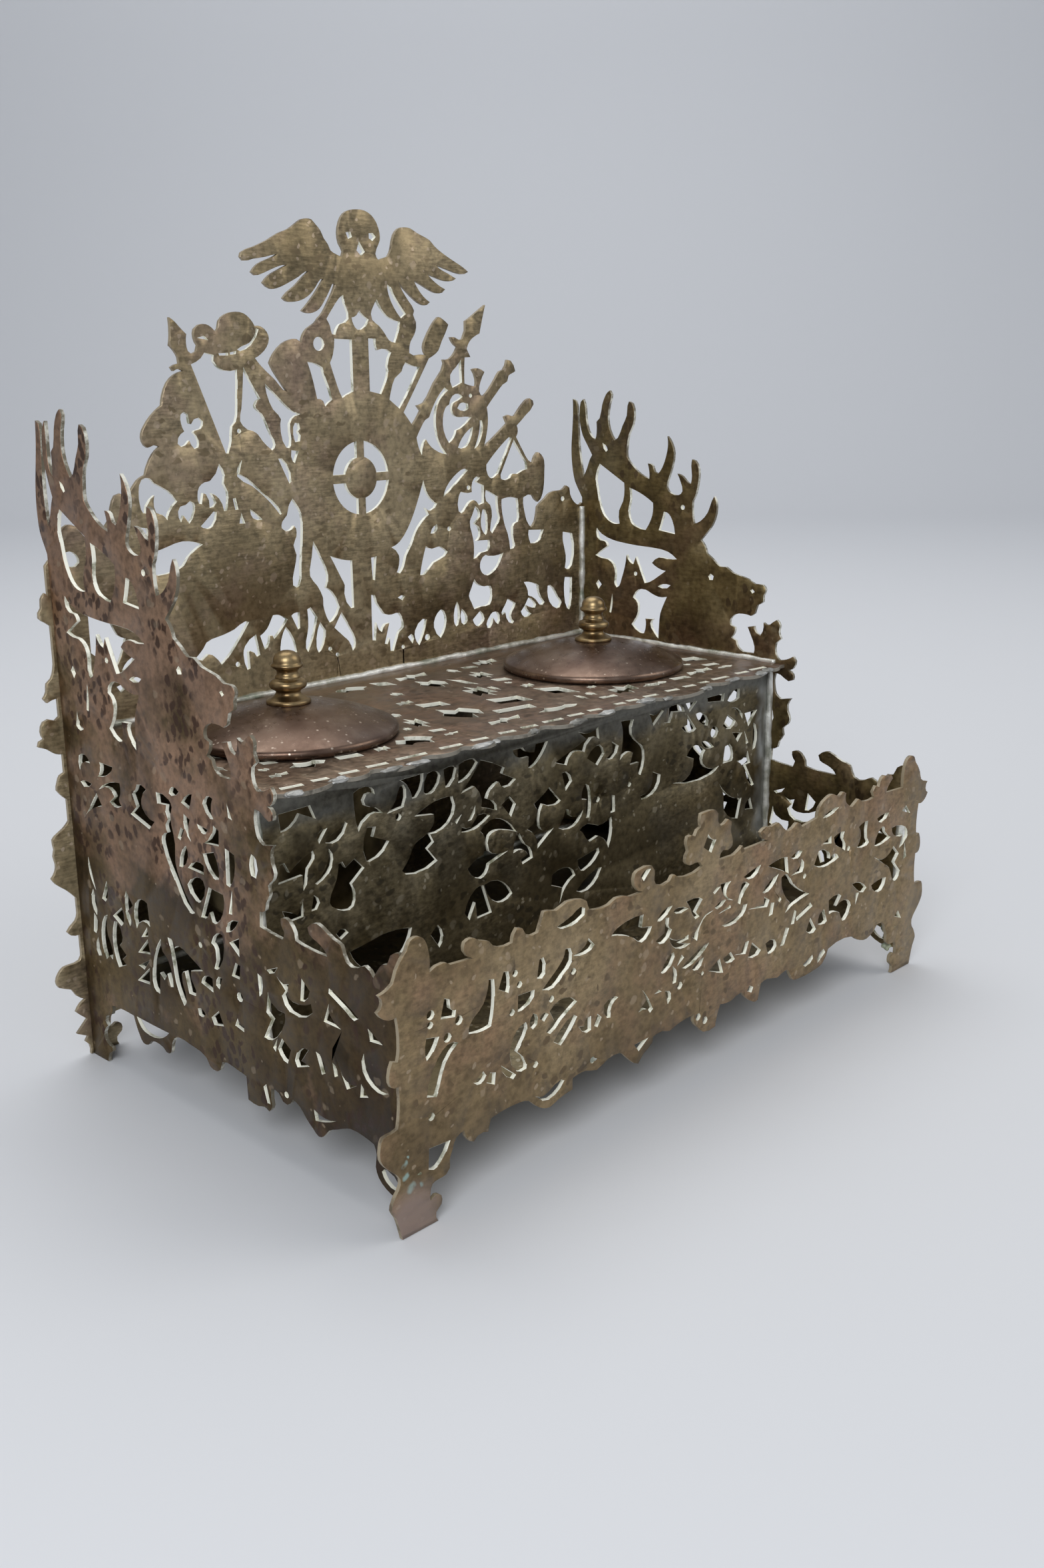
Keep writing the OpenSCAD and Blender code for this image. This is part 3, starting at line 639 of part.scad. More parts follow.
// Gallery: cuts in the right third
gallery_cuts_right = [
  [[149.5,51.5], [152.5,51.8], [155.5,48], [164.5,42.5], [157,41.3], [152.3,39.8], [154.5,42.3], [150,48]],
  [[154,56.7], [158.5,57.8], [160.2,57.3], [157.3,55.6]],
  [[159.8,54.7], [161,53.5], [160.3,50.5], [154.5,50.8], [158.8,52.5]],
  [[152.8,34.6], [154.5,34], [152,29.3], [150.3,29.5]],
  [[157,39], [158,38.5], [157,34.8], [155.5,35]],
  [[158,36.3], [165.5,39.2], [166.7,37.8], [158.5,35.3]],
  [[166.8,51], [169,55], [174.5,53.5], [175.5,51], [178,52], [180.3,50.3], [172,49.2]],
  [[171.2,56.8], [175.5,58.3], [175.8,56]],
  [[177.3,57.5], [181.5,58.3], [183,58], [182.5,56], [184,54], [184,51.5], [181.8,53], [178.5,54.7]],
  [[191.5,57.5], [194.8,58.5], [196.8,58.3], [196.8,52.5], [197.8,51], [196.5,50.2], [191,51], [193,54.3]],
  [[202.3,57.8], [207.5,58.6], [209.3,58.3], [205,56]],
  [[217.5,57], [220,58.3], [222.8,55.2]],
  [[205.5,54.3], [206.8,54], [207.8,52], [211,49.7], [204.5,48.3], [201.5,48.8]],
  [[211.8,52.5], [220.5,50.8], [222,49], [221.5,46.8], [217,44.3], [219,48.5], [213,50]],
  [[203,44.2], [209,43], [213.5,45.8], [217,42.5], [214.5,40], [218.5,36], [217,33.8], [215,33.5],
   [211.5,39], [207.5,41.5]],
  [[220.5,45], [222,40.3], [220.3,39.8]],
  [[201,35.5], [207,36.3], [209.7,36], [207.3,32.3], [203,33]],
  [[189.3,39], [194,38.3], [198,35.5], [196.3,34.5], [190.3,38]],
  [[191.8,35.3], [193.4,35], [191.8,31.7]],
  [[176,37], [181.5,37.7], [183,36.8], [180.5,34], [187,34.3], [189,31.8], [186,28], [184.5,28],
   [182.5,31.3], [176.5,32.5]],
  [[166,34], [169.3,29.5], [168,28.7], [164,30.3]],
  [[171,33.5], [173.5,34.8], [175.3,30.5], [174,29.9], [170.5,30.8]],
  [[170.4,65.2,1], [174,66.7], [179.5,66.8,1], [174,65.2]]
];
// Gallery: leaf slots along the lower rail
gallery_cuts_low = [
  [[6.2,20.3], [13,19.8], [9.8,15.3], [7.5,14.3], [5.9,15]],
  [[43.3,19.8], [45.8,19], [52.5,21.2], [53.8,20.5], [48,17.4]],
  [[82,20.7], [87.7,20.8], [83.8,18.3]],
  [[133.9,20], [135,21.3], [136.8,20.3], [136,18.9]],
  [[163,19.3], [168,21.2], [168.5,20], [164.5,18.3]],
  [[171,19], [174.3,21.3], [175.3,20], [171.3,17.6]],
  [[216.8,20.5], [219,21.8], [221,18.8]]
];
// Round holes of the gallery
gallery_dots = [
  [7.8,54.3,1.2], [7.6,51.8,0.9], [16.8,50,1.2], [36,56,0.9], [37.5,52.6,0.9], [57.3,50,0.9],
  [34.8,46,0.9], [49,45,0.9], [13,46.8,1.2], [43,29,0.9], [7.3,28.3,1], [101.5,32,1.1], [111.8,32.5,0.6],
  [149,44.7,0.7], [161.8,48.8,0.8], [186,51.8,0.8], [110.3,19.5,1.1], [64.8,22.4,0.9], [113.6,17.4,1.1]
];
// Box front: cuts left of the middle
box_cuts_left = [
  [[8.2,91.3,1], [18.3,91.5,1], [19.9,87.5], [15,90], [12,87], [8.8,86.3]],
  [[20,82], [21.8,84], [23.4,84], [20.7,80.5]],
  [[23,81], [28,83], [29.5,84.5], [30.3,83.8], [27,79.8], [22.8,80]],
  [[4,81.5], [5.5,82.5], [6.3,78], [5.5,76], [3.5,79.5]],
  [[8,77.6], [9.3,77.8], [10.8,74.8], [14.5,77.3], [18.6,79], [18.8,76.5], [16.8,74.3], [16,70],
   [15,68.7], [15,73], [7.2,72.5]],
  [[23.8,78], [24.8,76.5], [24.5,73], [19.5,69.2], [18.6,69.8], [22.5,73]],
  [[32.7,91.7,1], [38.7,92], [39.8,90], [37,90.3], [36,88.8], [36.5,87.3], [40,86], [42.3,84], [38,84.3],
   [34,80.5], [33,85]],
  [[48.8,90], [50,90.3], [50.9,88.8], [50,84], [44.2,83.4], [47.3,86.5]],
  [[49,91.8,1], [57.3,92,1], [54.8,85.6], [53.2,85.5], [51.3,90]],
  [[59,91.6], [62.5,91.6], [63.8,90], [61.5,86.2], [58.3,85.6], [57.5,86.5]],
  [[65,91.6], [68.8,91.8], [70,91], [67,86.2], [65.6,86.2]],
  [[37,81], [39.8,80.5], [38.8,77.8], [44.5,75.3,1], [37.3,71], [36.3,71.5]],
  [[54,80.3,1], [62,83], [68,83,1], [69,80,1], [66.5,75.3], [59.3,73.8], [60.8,71], [58.3,69.5],
   [61.8,65.2,1], [50,64.1], [48.7,65.4], [51.5,68.5], [53.5,72], [59,74.5], [61,77], [60.8,79.3,1]],
  [[68.6,75.3], [71.3,76.6], [69.5,74.4]],
  [[26.8,73.2], [28,73.4], [29,71.5], [32.3,73.3], [35.5,69.8], [31,66.3], [32,63], [31.3,59.8],
   [30,59.2], [24,61.7], [23.3,63], [26,69]],
  [[18.2,66.5], [20,63.8], [19,62.3], [17.2,62.3]],
  [[8,64.8], [11,63.5], [12.8,62.5], [14.6,65.8], [14.6,61.5], [9.3,61.2]],
  [[25,53.5], [26.5,54.5], [29,52.8], [26.5,51.5]],
  [[29.3,47,1], [36,47.8], [42,48.7], [51.5,47.6,1], [48.8,42], [40,36], [31.5,43]],
  [[61.3,45.5], [63.3,41.5], [61.8,38.5], [58.6,43.3]]
];
// Box front: cuts in the middle
box_cuts_middle = [
  [[70.8,91.8,1], [77,92.2], [78.2,91], [73.5,87], [70.5,86.5]],
  [[79.3,91.4,1], [84,89.6], [89,87.2], [88,85.5], [93.6,82.7], [88.5,81.2], [86.5,83.3], [83.3,81.8],
   [81.6,79.2], [85.5,76.3], [85.6,74.8,1], [79.2,77.2], [79.6,79.5], [76.8,84], [71.4,83,1], [76.5,88]],
  [[92.3,91.8,1], [96.3,91.8,1], [98,90.3], [101.5,89.5], [102,91.8,1], [107.3,91.8,1], [103.5,86.8],
   [100,84.8], [98.8,85], [99,88.5], [93.8,89.5]],
  [[121,91.8], [126,90.8], [129.8,92], [130.3,88], [126.5,89], [123.5,85], [121,86], [118,85.8],
   [115.5,82.5], [110.5,84.3], [119,87.3], [124.5,89]],
  [[128.8,86], [130.5,86], [132.8,82.8], [129.5,79.5], [124.6,82.8,1]],
  [[136.3,85.8], [139.3,84], [136.5,80.3], [133.8,81], [136.8,82.5]],
  [[113.4,80.3], [115,80.5], [117.8,76.8], [115,74.3]],
  [[90.8,77.8], [93.3,75], [91.3,71.5], [87.5,76,1]],
  [[76.8,78,1], [75.3,74.3], [74,74.2]],
  [[71.5,72.8], [75,72], [78,75], [82.8,73.8], [76,71], [71.3,71.3]],
  [[78.8,69.8], [82.5,72.3], [87,71.8], [93.5,66.3,1], [87.5,68.3], [84.5,68.6], [82.3,67.6], [82,63],
   [85,61.3], [89.3,61,1], [82,58.8,1], [80.8,56.3], [78.5,55.3], [73.5,59.5], [78,62], [79.8,62.3],
   [80.5,67.5]],
  [[93.8,65], [94.8,65.3], [97,61.5], [99,60], [100.3,56.3], [96,55.3], [95.3,56.8], [98.3,57.8],
   [96,60], [92.2,59.8]],
  [[101.1,73.3], [106,75.8], [107.7,77.2], [112.8,71.7,1], [110.3,70.8], [105,72.3], [103.5,65.5],
   [105,63.8], [109.3,63.5], [102.5,58.8,1], [101.8,62.5], [98.2,65.8,1], [102.3,69]],
  [[115,68.3], [116,68], [116.8,66], [120,64.8], [123,66.5], [119,62], [111.8,63], [114.3,66.5]],
  [[122.3,70], [122.5,72.5], [124,74.5], [125.3,73.8], [126.3,66.5], [125.6,63.2], [124.2,63.4],
   [124.5,69.5]],
  [[121.3,60,1], [125,61.3], [130,59.5], [136,61], [136.6,57.5], [134.8,51], [130,56], [126,55],
   [122.8,58.8]],
  [[136.3,68.2], [137.6,67.8], [137.8,62.5], [135.8,62.4]],
  [[76.5,52.5], [79.5,52.8], [82.8,43.3], [77,43], [76.3,48.3], [73.8,43.5], [72,46]],
  [[80,52.8], [85.5,52.8], [91.5,47,1], [85.5,45.8]],
  [[109,48.3], [116.5,48.8], [119.3,45.5], [115,42.8], [112.3,38.5], [113.3,43], [108.5,45]],
  [[120.5,50.3], [130,52], [130.5,50.5], [123.3,46], [122,46.3]],
  [[120,40], [129,45], [131.8,45], [125,39]]
];
// Box front: cuts right of the middle
box_cuts_right = [
  [[140.5,91.8], [146.5,91.3], [145.8,86.5], [150,82.5], [152,80], [150.3,72], [149.3,72.5],
   [149.5,76.5], [145,76.5], [146.5,80.3], [144,81], [140,79], [141.5,88]],
  [[154.5,91.6], [158.5,91], [160,92.2], [161.8,91.5], [156.6,87.3]],
  [[163.5,91.8], [170.5,91.8], [172.3,89.5], [166.5,90.3], [165,86.8], [161.8,87.3]],
  [[173,92], [178.8,91.8], [175,88.8]],
  [[184.5,92], [193.8,92], [193.3,89.3], [184.8,90.3]],
  [[199,92], [202.5,92.2], [202.5,89], [199,88], [195.7,89]],
  [[198.5,86], [201.8,85.2], [204.3,83], [204.3,81.3], [200.8,85]],
  [[174,87.8], [178.6,82.3], [175.5,81.5], [171,84], [174,84.5]],
  [[178.3,87.5], [182.5,87], [185.3,84], [184.8,82.3], [181,84]],
  [[196,84], [200.5,81], [198,78.8], [193.5,80.5]],
  [[205.7,82.8], [212.8,82.8], [208,77.8]],
  [[199,77], [204.5,76], [202,73.3]],
  [[206,76], [208.2,71.8], [207,71.5]],
  [[211,78.3], [212.3,77.5], [212.3,69], [211,68.5]],
  [[176.5,76], [179,76.5], [184,73.8], [182.3,70.8], [184.5,67.5], [191.5,66.5], [187.5,64.5],
   [168.8,65.3], [176,66.8], [177.8,72], [174,73.5]],
  [[181.8,76.8], [184,77], [188.8,74], [184.5,74.3]],
  [[195,72.8], [197.5,73.3], [199.8,69.5], [199,67], [194,67]],
  [[202,66.2], [207,67], [208,68.7], [209.8,64], [207,63.8], [212.3,55.5], [211,55.3], [206,63.3]],
  [[156.5,71.7], [160.3,70], [158.5,65.5], [151,63.5], [150.5,64.8], [155.5,66.5]],
  [[192,60.2,1], [199.5,53.5], [205.5,52], [203.5,44.7], [195.5,49.5], [195,55]],
  [[208,49], [210.5,50.8], [212.2,46.3], [207.8,47]]
];
// Round holes of the box front
box_dots = [
  [48,81.4,1], [129.7,68.3,0.9], [188.8,79.2,2], [144.8,70,0.8]
];
// Shelf: cuts in rows round the two lids, each with its left, right, front and back end
shelf_cuts = [
  [12,18.5,61.8,65.5], [21.5,32.5,63.3,70.5], [35.5,43,62.5,67.3], [48,53,62,67.3],
  [56.5,69,59.3,70], [73,77.5,67,70.5], [72.5,78.3,61.8,64.2], [14,17,69,72.3],
  [18.6,22.6,73.5,77.5], [69,71.5,74.5,78], [6.5,9.5,77,84], [13,15.5,88,96],
  [74.5,80.5,73.5,86], [77,81,89,95], [79,81,127,130], [15,21,124,128], [28,35,128,132],
  [138,144.5,59.8,63], [147,159,59.5,70], [160,171,60.5,64.8], [174.5,182,60.3,64.5],
  [184,198,61.5,67.5], [199.5,207,61,64], [200,206,66.5,70.5], [146.5,150.5,73,76.5],
  [196,199,73,76], [202,210,75,84], [134,136,64.5,70.5], [139,142,66,70.5],
  [133.5,141,72.5,87], [134,139,89,94.5], [134,136.5,98,101], [134.5,140,102,107.5],
  [134,141.5,109.5,121], [134.5,138,123.5,130], [141.5,147,125,129], [149,160,125,133.5],
  [88.5,101.5,71.5,88], [92,101,90,98], [89,95.5,99.5,105], [97,101,110.5,116],
  [102,117,68,74.5], [90,104.5,60.5,66], [111,127,59.5,65], [111.5,123,76,87],
  [115,124.2,89,106], [88,100,126,133], [103.5,109,124,132.5], [113,128,126,133.5],
  [113,122.5,110.5,123.5], [125,127.5,105,118], [124.9,127.2,94,101]
];
// Shelf: slots along the front edge, each with its left and right end
shelf_slots = [
  [7,14], [17,22], [26,32], [35,42], [45,56], [61,69], [73,79], [84,90], [93,99], [102,110],
  [113,119], [122,127], [134,138], [140,144.5], [148,154], [159,164.5], [168,173], [176,180],
  [183,191], [196,202], [204,212]
];
slot_front = 51.2;
slot_back = 53.8;
// Shelf: lobes of the scalloped front edge, each with its left and right end and its depth
shelf_lobes = [
  [4, 22, 3.2], [24, 34, 2.2], [36, 52, 3.6], [55, 66, 2], [68, 80, 3.4], [83, 98, 2.6], [100, 116, 4],
  [119, 131, 2.4], [134, 146, 2], [149, 176, 4.8], [179, 190, 2.2], [192, 208, 3.4], [210, 217, 1.6]
];
lobe_base = 49.8;

// ---- Plates ----

module cut_sheet(edge, cuts, dots) {
  difference() {
    polygon(edge);
    for (cut = cuts) polygon(cut);
    for (dot = dots)
      translate([dot[0], dot[1]])
        circle(r = dot[2], $fn = 24);
  }
}

// Stands a flat pattern upright, its front face at the given depth
module upright(front) {
  translate([0, front + sheet_t, 0])
    rotate([90, 0, 0])
      linear_extrude(sheet_t)
        children();
}

function fit_back(path) = [for (p = path) [across(p[0]), up_back(p[1])]];
function fit_gallery(path) = [for (p = path) [across(p[0]), up_gallery(p[1])]];
function fit_box(path) = [for (p = path) [across(p[0]), up_box(p[1])]];
function fit_side(path, lean) =
  [for (p = path) [along(p[0]) - splay(p[0], p[1], lean), up_side(p[0], p[1])]];

back_mid = 110;
gallery_mid = 112.75;
// Parts of the apron: the left foot, and the stretch between the feet
foot_inner = [for (p = apron) if (p[0] < 16) p];
apron_span = [for (p = apron) if (p[0] >= 16) p];

// Ring of four slots round the shield
shield = [112.8, 164];
shield_outer = 11.7;
shield_inner = 6.7;
shield_bar_v = 3.2;
shield_bar_h = 2.8;
module shield_slots() {
  difference() {
    circle(r = shield_outer);
    circle(r = shield_inner);
    square([shield_bar_v, 3 * shield_outer], center = true);
    square([3 * shield_outer, shield_bar_h], center = true);
  }
}

module back_plate() {
  edge = concat(
    back_side,
    back_crest,
    reversed(mirrored(back_side, back_mid)),
    mirrored(foot_inner, back_mid),
    mirrored(apron_span, back_mid + 1),
    reversed(foot_inner)
  );
  cuts = concat(
    back_cuts_crest, back_cuts_left, back_cuts_right,
    back_cuts_low_left, back_cuts_middle, back_cuts_low_right
  );
  color(BRASS) centred()
    upright(body_d)
      difference() {
        polygon(fit_back(rounded(edge)));
        for (cut = cuts) polygon(fit_back(rounded(cut)));
        for (dot = back_dots)
          translate([across(dot[0]), up_back(dot[1])])
            circle(r = dot[2], $fn = 24);
        translate([across(shield[0]), up_back(shield[1])])
          shield_slots();
      }
}

module side_panel(lean) {
  cuts = concat(side_cuts_top, side_cuts_front, side_cuts_box);
  color(BRASS) centred()
    rotate([90, 0, 90])
      linear_extrude(sheet_t)
        cut_sheet(
          fit_side(rounded(side_edge), lean),
          [for (cut = cuts) fit_side(rounded(cut), lean)],
          [for (dot = side_dots) [along(dot[0]), up_side(dot[0], dot[1]), dot[2]]]
        );
}

module side_panel_left() {
  translate([-body_w / 2, 0, 0]) side_panel(antler_lean);
}

module side_panel_right() {
  translate([inner_x, 0, 0]) side_panel(-antler_lean);
}

module front_gallery() {
  edge = concat(
    gallery_side,
    gallery_top,
    reversed(mirrored(gallery_side, gallery_mid)),
    mirrored(foot_inner, gallery_mid),
    reversed(apron_span),
    reversed(foot_inner)
  );
  cuts = concat(gallery_cuts_left, gallery_cuts_middle, gallery_cuts_right, gallery_cuts_low);
  color(BRASS) centred()
    upright(0)
      cut_sheet(
        fit_gallery(rounded(edge)),
        [for (cut = cuts) fit_gallery(rounded(cut))],
        [for (dot = gallery_dots) [across(dot[0]), up_gallery(dot[1]), dot[2]]]
      );
}

module box_front() {
  edge = [[-inner_x, floor_top], [-inner_x, shelf_under], [inner_x, shelf_under], [inner_x, floor_top]];
  cuts = concat(box_cuts_left, box_cuts_middle, box_cuts_right);
  color(BRASS) centred()
    upright(tray_d)
      cut_sheet(
        edge,
        [for (cut = cuts) fit_box(rounded(cut))],
        [for (dot = box_dots) [across(dot[0]), up_box(dot[1]), dot[2]]]
      );
}

// Small jagged cuts, as shares of the rectangle that each one fills
leaf_shapes = [
  [[0,0.2,1], [0.12,0.8,1], [0.42,0.72], [0.52,1,1], [0.66,0.7,1], [1,0.85,1], [0.82,0.25,1], [0.5,0.35],
   [0.38,0,1], [0.2,0.3,1]],
  [[0,0.55,1], [0.2,0.85], [0.38,0.7,1], [0.55,1,1], [0.78,0.8], [1,0.45,1], [0.8,0.3,1], [0.7,0,1],
   [0.45,0.3], [0.2,0.2,1]],
  [[0,0.3,1], [0.1,1,1], [0.5,0.8], [1,0.7,1], [0.93,0,1], [0.5,0.15]]
];
// A leaf cut that fills the given rectangle; every second one is turned
function leaf_cut(r, i) =
  let (w = r[1] - r[0], d = r[3] - r[2])
  [
    for (s = leaf_shapes[i % len(leaf_shapes)])
      i % 2 == 1 ? [r[1] - s[0] * w, r[3] - s[1] * d, s[2]] : [r[0] + s[0] * w, r[2] + s[1] * d, s[2]]
  ];
// The fretwork's depth marks move with the box front
function shelf_depth(y) = lookup(y, [[0, 0], [55.5, tray_d], [143.3, body_d]]);
function fit_shelf(path) = [for (p = path) [across(p[0]), shelf_depth(p[1])]];

module shelf_plate() {
  lobes = [
    for (l = shelf_lobes)
      each [[l[0], lobe_base, 1], [l[0] * 0.7 + l[1] * 0.3, lobe_base - l[2]],
        [l[0] * 0.25 + l[1] * 0.75, lobe_base - l[2] * 0.85], [l[1], lobe_base, 1]]
  ];
  front = fit_shelf(rounded(lobes));
  edge = concat(
    [[-inner_x, body_d], [-inner_x, shelf_depth(lobe_base)]],
    front,
    [[inner_x, shelf_depth(lobe_base)], [inner_x, body_d]]
  );
  cuts = [for (i = [0:len(shelf_cuts) - 1]) leaf_cut(shelf_cuts[i], i)];
  slots = [for (s = shelf_slots) leaf_cut([s[0], s[1], slot_front, slot_back], 2)];
  color(BRASS) centred()
    translate([0, 0, shelf_under])
      linear_extrude(sheet_t)
        difference() {
          polygon(edge);
          for (cut = concat(cuts, slots)) polygon(fit_shelf(rounded(cut)));
          for (x = [-well_pitch / 2, well_pitch / 2])
            translate([x - well_shift, well_y])
              circle(d = cup_d + 2 * fit_gap);
        }
}

module floor_plate() {
  color(BRASS) centred()
    translate([-inner_x, sheet_t, floor_h])
      cube([2 * inner_x, body_d - sheet_t, sheet_t]);
}

// ---- Wells: a drawn cup hangs in the shelf and holds a glass pot ----

module at_well(side) {
  translate([side * well_pitch / 2 - well_shift, well_y, shelf_h])
    children();
}

cup_depth = cup_wall + pot_h + pot_room + collar_depth;
// The flange ends just inside the lid's rim
flange_r = lid_d / 2 - lid_rim - fit_gap;
module well_cup(side) {
  r = cup_d / 2;
  color(BRASS_TURNED) centred()
    at_well(side)
      rotate_extrude()
        polygon([
          [0, -cup_depth], [r, -cup_depth], [r, 0], [flange_r, 0], [flange_r, cup_wall],
          [r - cup_wall, cup_wall], [r - cup_wall, cup_wall - cup_depth], [0, cup_wall - cup_depth]
        ]);
}

module well_cup_left() { well_cup(-1); }
module well_cup_right() { well_cup(1); }

pot_d = cup_d - 2 * cup_wall - 2 * fit_gap;
pot_base = cup_wall - cup_depth;
module glass_pot(side) {
  lip = pot_wall / 2;
  r = pot_d / 2;
  color(GLASS) centred()
    at_well(side)
      translate([0, 0, pot_base])
        difference() {
          rotate_extrude()
            union() {
              square([r - lip, pot_h]);
              square([r, pot_h - lip]);
              translate([r - lip, pot_h - lip]) circle(lip);
            }
          translate([0, 0, pot_wall])
            cylinder(d = pot_d - 2 * pot_wall, h = pot_h);
        }
}

module glass_pot_left() { glass_pot(-1); }
module glass_pot_right() { glass_pot(1); }

// ---- Lids: a pressed dome with a rolled rim, a collar below it and a turned knob on it ----

// The crown is part of a ball that runs smoothly into the rim
rim_r = lid_rim / 2;
rim_reach = lid_d / 2 - rim_r;
ball_r = (pow(rim_reach, 2) + pow(lid_rise - rim_r, 2) - pow(rim_r, 2)) / (2 * (lid_rise - lid_rim));
ball_z = lid_rise - ball_r;
edge_angle = atan2(rim_reach, rim_r - ball_z);
// Heights of the crown's outer and inner face at a distance from the axis
function crown_top(r) = ball_z + sqrt(pow(ball_r, 2) - pow(r, 2));
function crown_under(r) = ball_z + sqrt(pow(ball_r - lid_t, 2) - pow(r, 2));
knob_seat = crown_top(knob_d / 2);
function on_circle(r, angle) = [r * sin(angle), r * cos(angle)];
crown_steps = 20;
rim_steps = 20;
// The rim turns in under the lid as far as this angle from the top
rim_stop = 305;
module lid_dome(side) {
  outer = [for (i = [0:crown_steps - 1]) on_circle(ball_r, edge_angle * i / crown_steps)];
  rim = [
    for (i = [0:rim_steps])
      [rim_reach, rim_r - ball_z] + on_circle(rim_r, edge_angle + (rim_stop - edge_angle) * i / rim_steps)
  ];
  inner = [for (i = [crown_steps:-1:0]) on_circle(ball_r - lid_t, (edge_angle - 1) * i / crown_steps)];
  color(COPPERY) centred()
    at_well(side)
      difference() {
        rotate_extrude()
          translate([0, ball_z])
            polygon(concat(outer, rim, inner));
        translate([0, 0, knob_seat])
          cylinder(d = knob_d + fit_gap, h = lid_rise);
        cylinder(d = stud_d + stud_gap, h = 3 * lid_rise, center = true);
      }
}

module lid_dome_left() { lid_dome(-1); }
module lid_dome_right() { lid_dome(1); }

// The collar is soldered to the crown's underside
collar_r = cup_d / 2 - cup_wall - fit_gap;
module lid_collar(side) {
  meet = crown_under(collar_r);
  color(BRASS) centred()
    at_well(side)
      translate([0, 0, -collar_depth])
        difference() {
          cylinder(r = collar_r, h = collar_depth + meet);
          translate([0, 0, -1])
            cylinder(r = collar_r - collar_wall, h = collar_depth + meet + 2);
        }
}

module lid_collar_left() { lid_collar(-1); }
module lid_collar_right() { lid_collar(1); }

// Knob's turned profile, radius and height, drawn 12.6 wide and 14.9 high
knob_art_d = 12.6;
knob_art_h = 14.9;
knob_profile = [
  [0, 0, 1], [6.3, 0, 1], [6.3, 0.8], [5.4, 1.35], [4, 2.2], [3.45, 3.2], [4.1, 3.9], [5.02, 4.8],
  [5, 5.9], [4, 6.7], [3.4, 7], [3.45, 7.5], [2.8, 8.3], [2.75, 9.2], [3.9, 10.2], [4.3, 10.7, 1],
  [4.2, 11.2, 1], [3.85, 11.6], [3.75, 12.6], [2.8, 14], [1, 14.9], [0, 14.9, 1]
];
module lid_knob(side) {
  stud_reach = lid_t + nut_h + stud_d / 2;
  color(BRASS_TURNED) centred()
    at_well(side)
      translate([0, 0, knob_seat]) {
        rotate_extrude()
          polygon([for (p = rounded(knob_profile)) [p[0] * knob_d / knob_art_d, p[1] * knob_h / knob_art_h]]);
        translate([0, 0, -stud_reach])
          cylinder(d = stud_d, h = stud_reach + 1);
      }
}

module lid_knob_left() { lid_knob(-1); }
module lid_knob_right() { lid_knob(1); }

module knob_nut(side) {
  color(BRASS_TURNED) centred()
    at_well(side)
      translate([0, 0, crown_under(nut_w / 2) - nut_h])
        difference() {
          cylinder(d = nut_w / cos(30), h = nut_h, $fn = 6);
          translate([0, 0, -1])
            cylinder(d = stud_d + stud_gap, h = nut_h + 2);
        }
}

module knob_nut_left() { knob_nut(-1); }
module knob_nut_right() { knob_nut(1); }

// ---- Solder: a fillet of three-cornered section along each inner corner ----

// Upright fillet in a corner at the origin; sx and sy point out of the corner
module corner_fillet(low, high, sx, sy) {
  translate([0, 0, low])
    linear_extrude(high - low)
      polygon([[0, 0], [sx * seam_w, 0], [0, sy * seam_w]]);
}
// Level fillet that runs across the case at the given depth and height
module cross_fillet(depth, height, sy, sz) {
  half = inner_x - seam_w;
  translate([-half, depth, height])
    rotate([90, 0, 90])
      linear_extrude(2 * half)
        polygon([[0, 0], [sy * seam_w, 0], [0, sz * seam_w]]);
}

art_seam_top = 147;
rear_seam_top = up_back(art_seam_top);
module seam_rear(side) {
  color(SOLDER) centred()
    translate([side * inner_x, body_d, 0]) {
      corner_fillet(floor_top, shelf_under, -side, -1);
      corner_fillet(shelf_h, rear_seam_top, -side, -1);
    }
}

module seam_rear_left() { seam_rear(-1); }
module seam_rear_right() { seam_rear(1); }

module seam_box(side) {
  color(SOLDER) centred()
    translate([side * inner_x, tray_d, 0])
      corner_fillet(floor_top, shelf_under, -side, -1);
}

module seam_box_left() { seam_box(-1); }
module seam_box_right() { seam_box(1); }

module seam_front(side) {
  color(SOLDER) centred()
    translate([side * inner_x, sheet_t, 0])
      corner_fillet(floor_top, gallery_h - 1, -side, 1);
}

module seam_front_left() { seam_front(-1); }
module seam_front_right() { seam_front(1); }

module seam_shelf_back() { color(SOLDER) centred() cross_fillet(body_d, shelf_h, -1, 1); }
module seam_floor_back() { color(SOLDER) centred() cross_fillet(body_d, floor_top, -1, 1); }
module seam_floor_front() { color(SOLDER) centred() cross_fillet(sheet_t, floor_top, 1, 1); }

back_plate();
side_panel_left();
side_panel_right();
front_gallery();
box_front();
shelf_plate();
floor_plate();
well_cup_left();
well_cup_right();
glass_pot_left();
glass_pot_right();
lid_dome_left();
lid_dome_right();
lid_collar_left();
lid_collar_right();
lid_knob_left();
lid_knob_right();
knob_nut_left();
knob_nut_right();
seam_rear_left();
seam_rear_right();
seam_box_left();
seam_box_right();
seam_front_left();
seam_front_right();
seam_shelf_back();
seam_floor_back();
seam_floor_front();
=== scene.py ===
import math
import random

import bpy
from mathutils import Matrix, Vector, noise


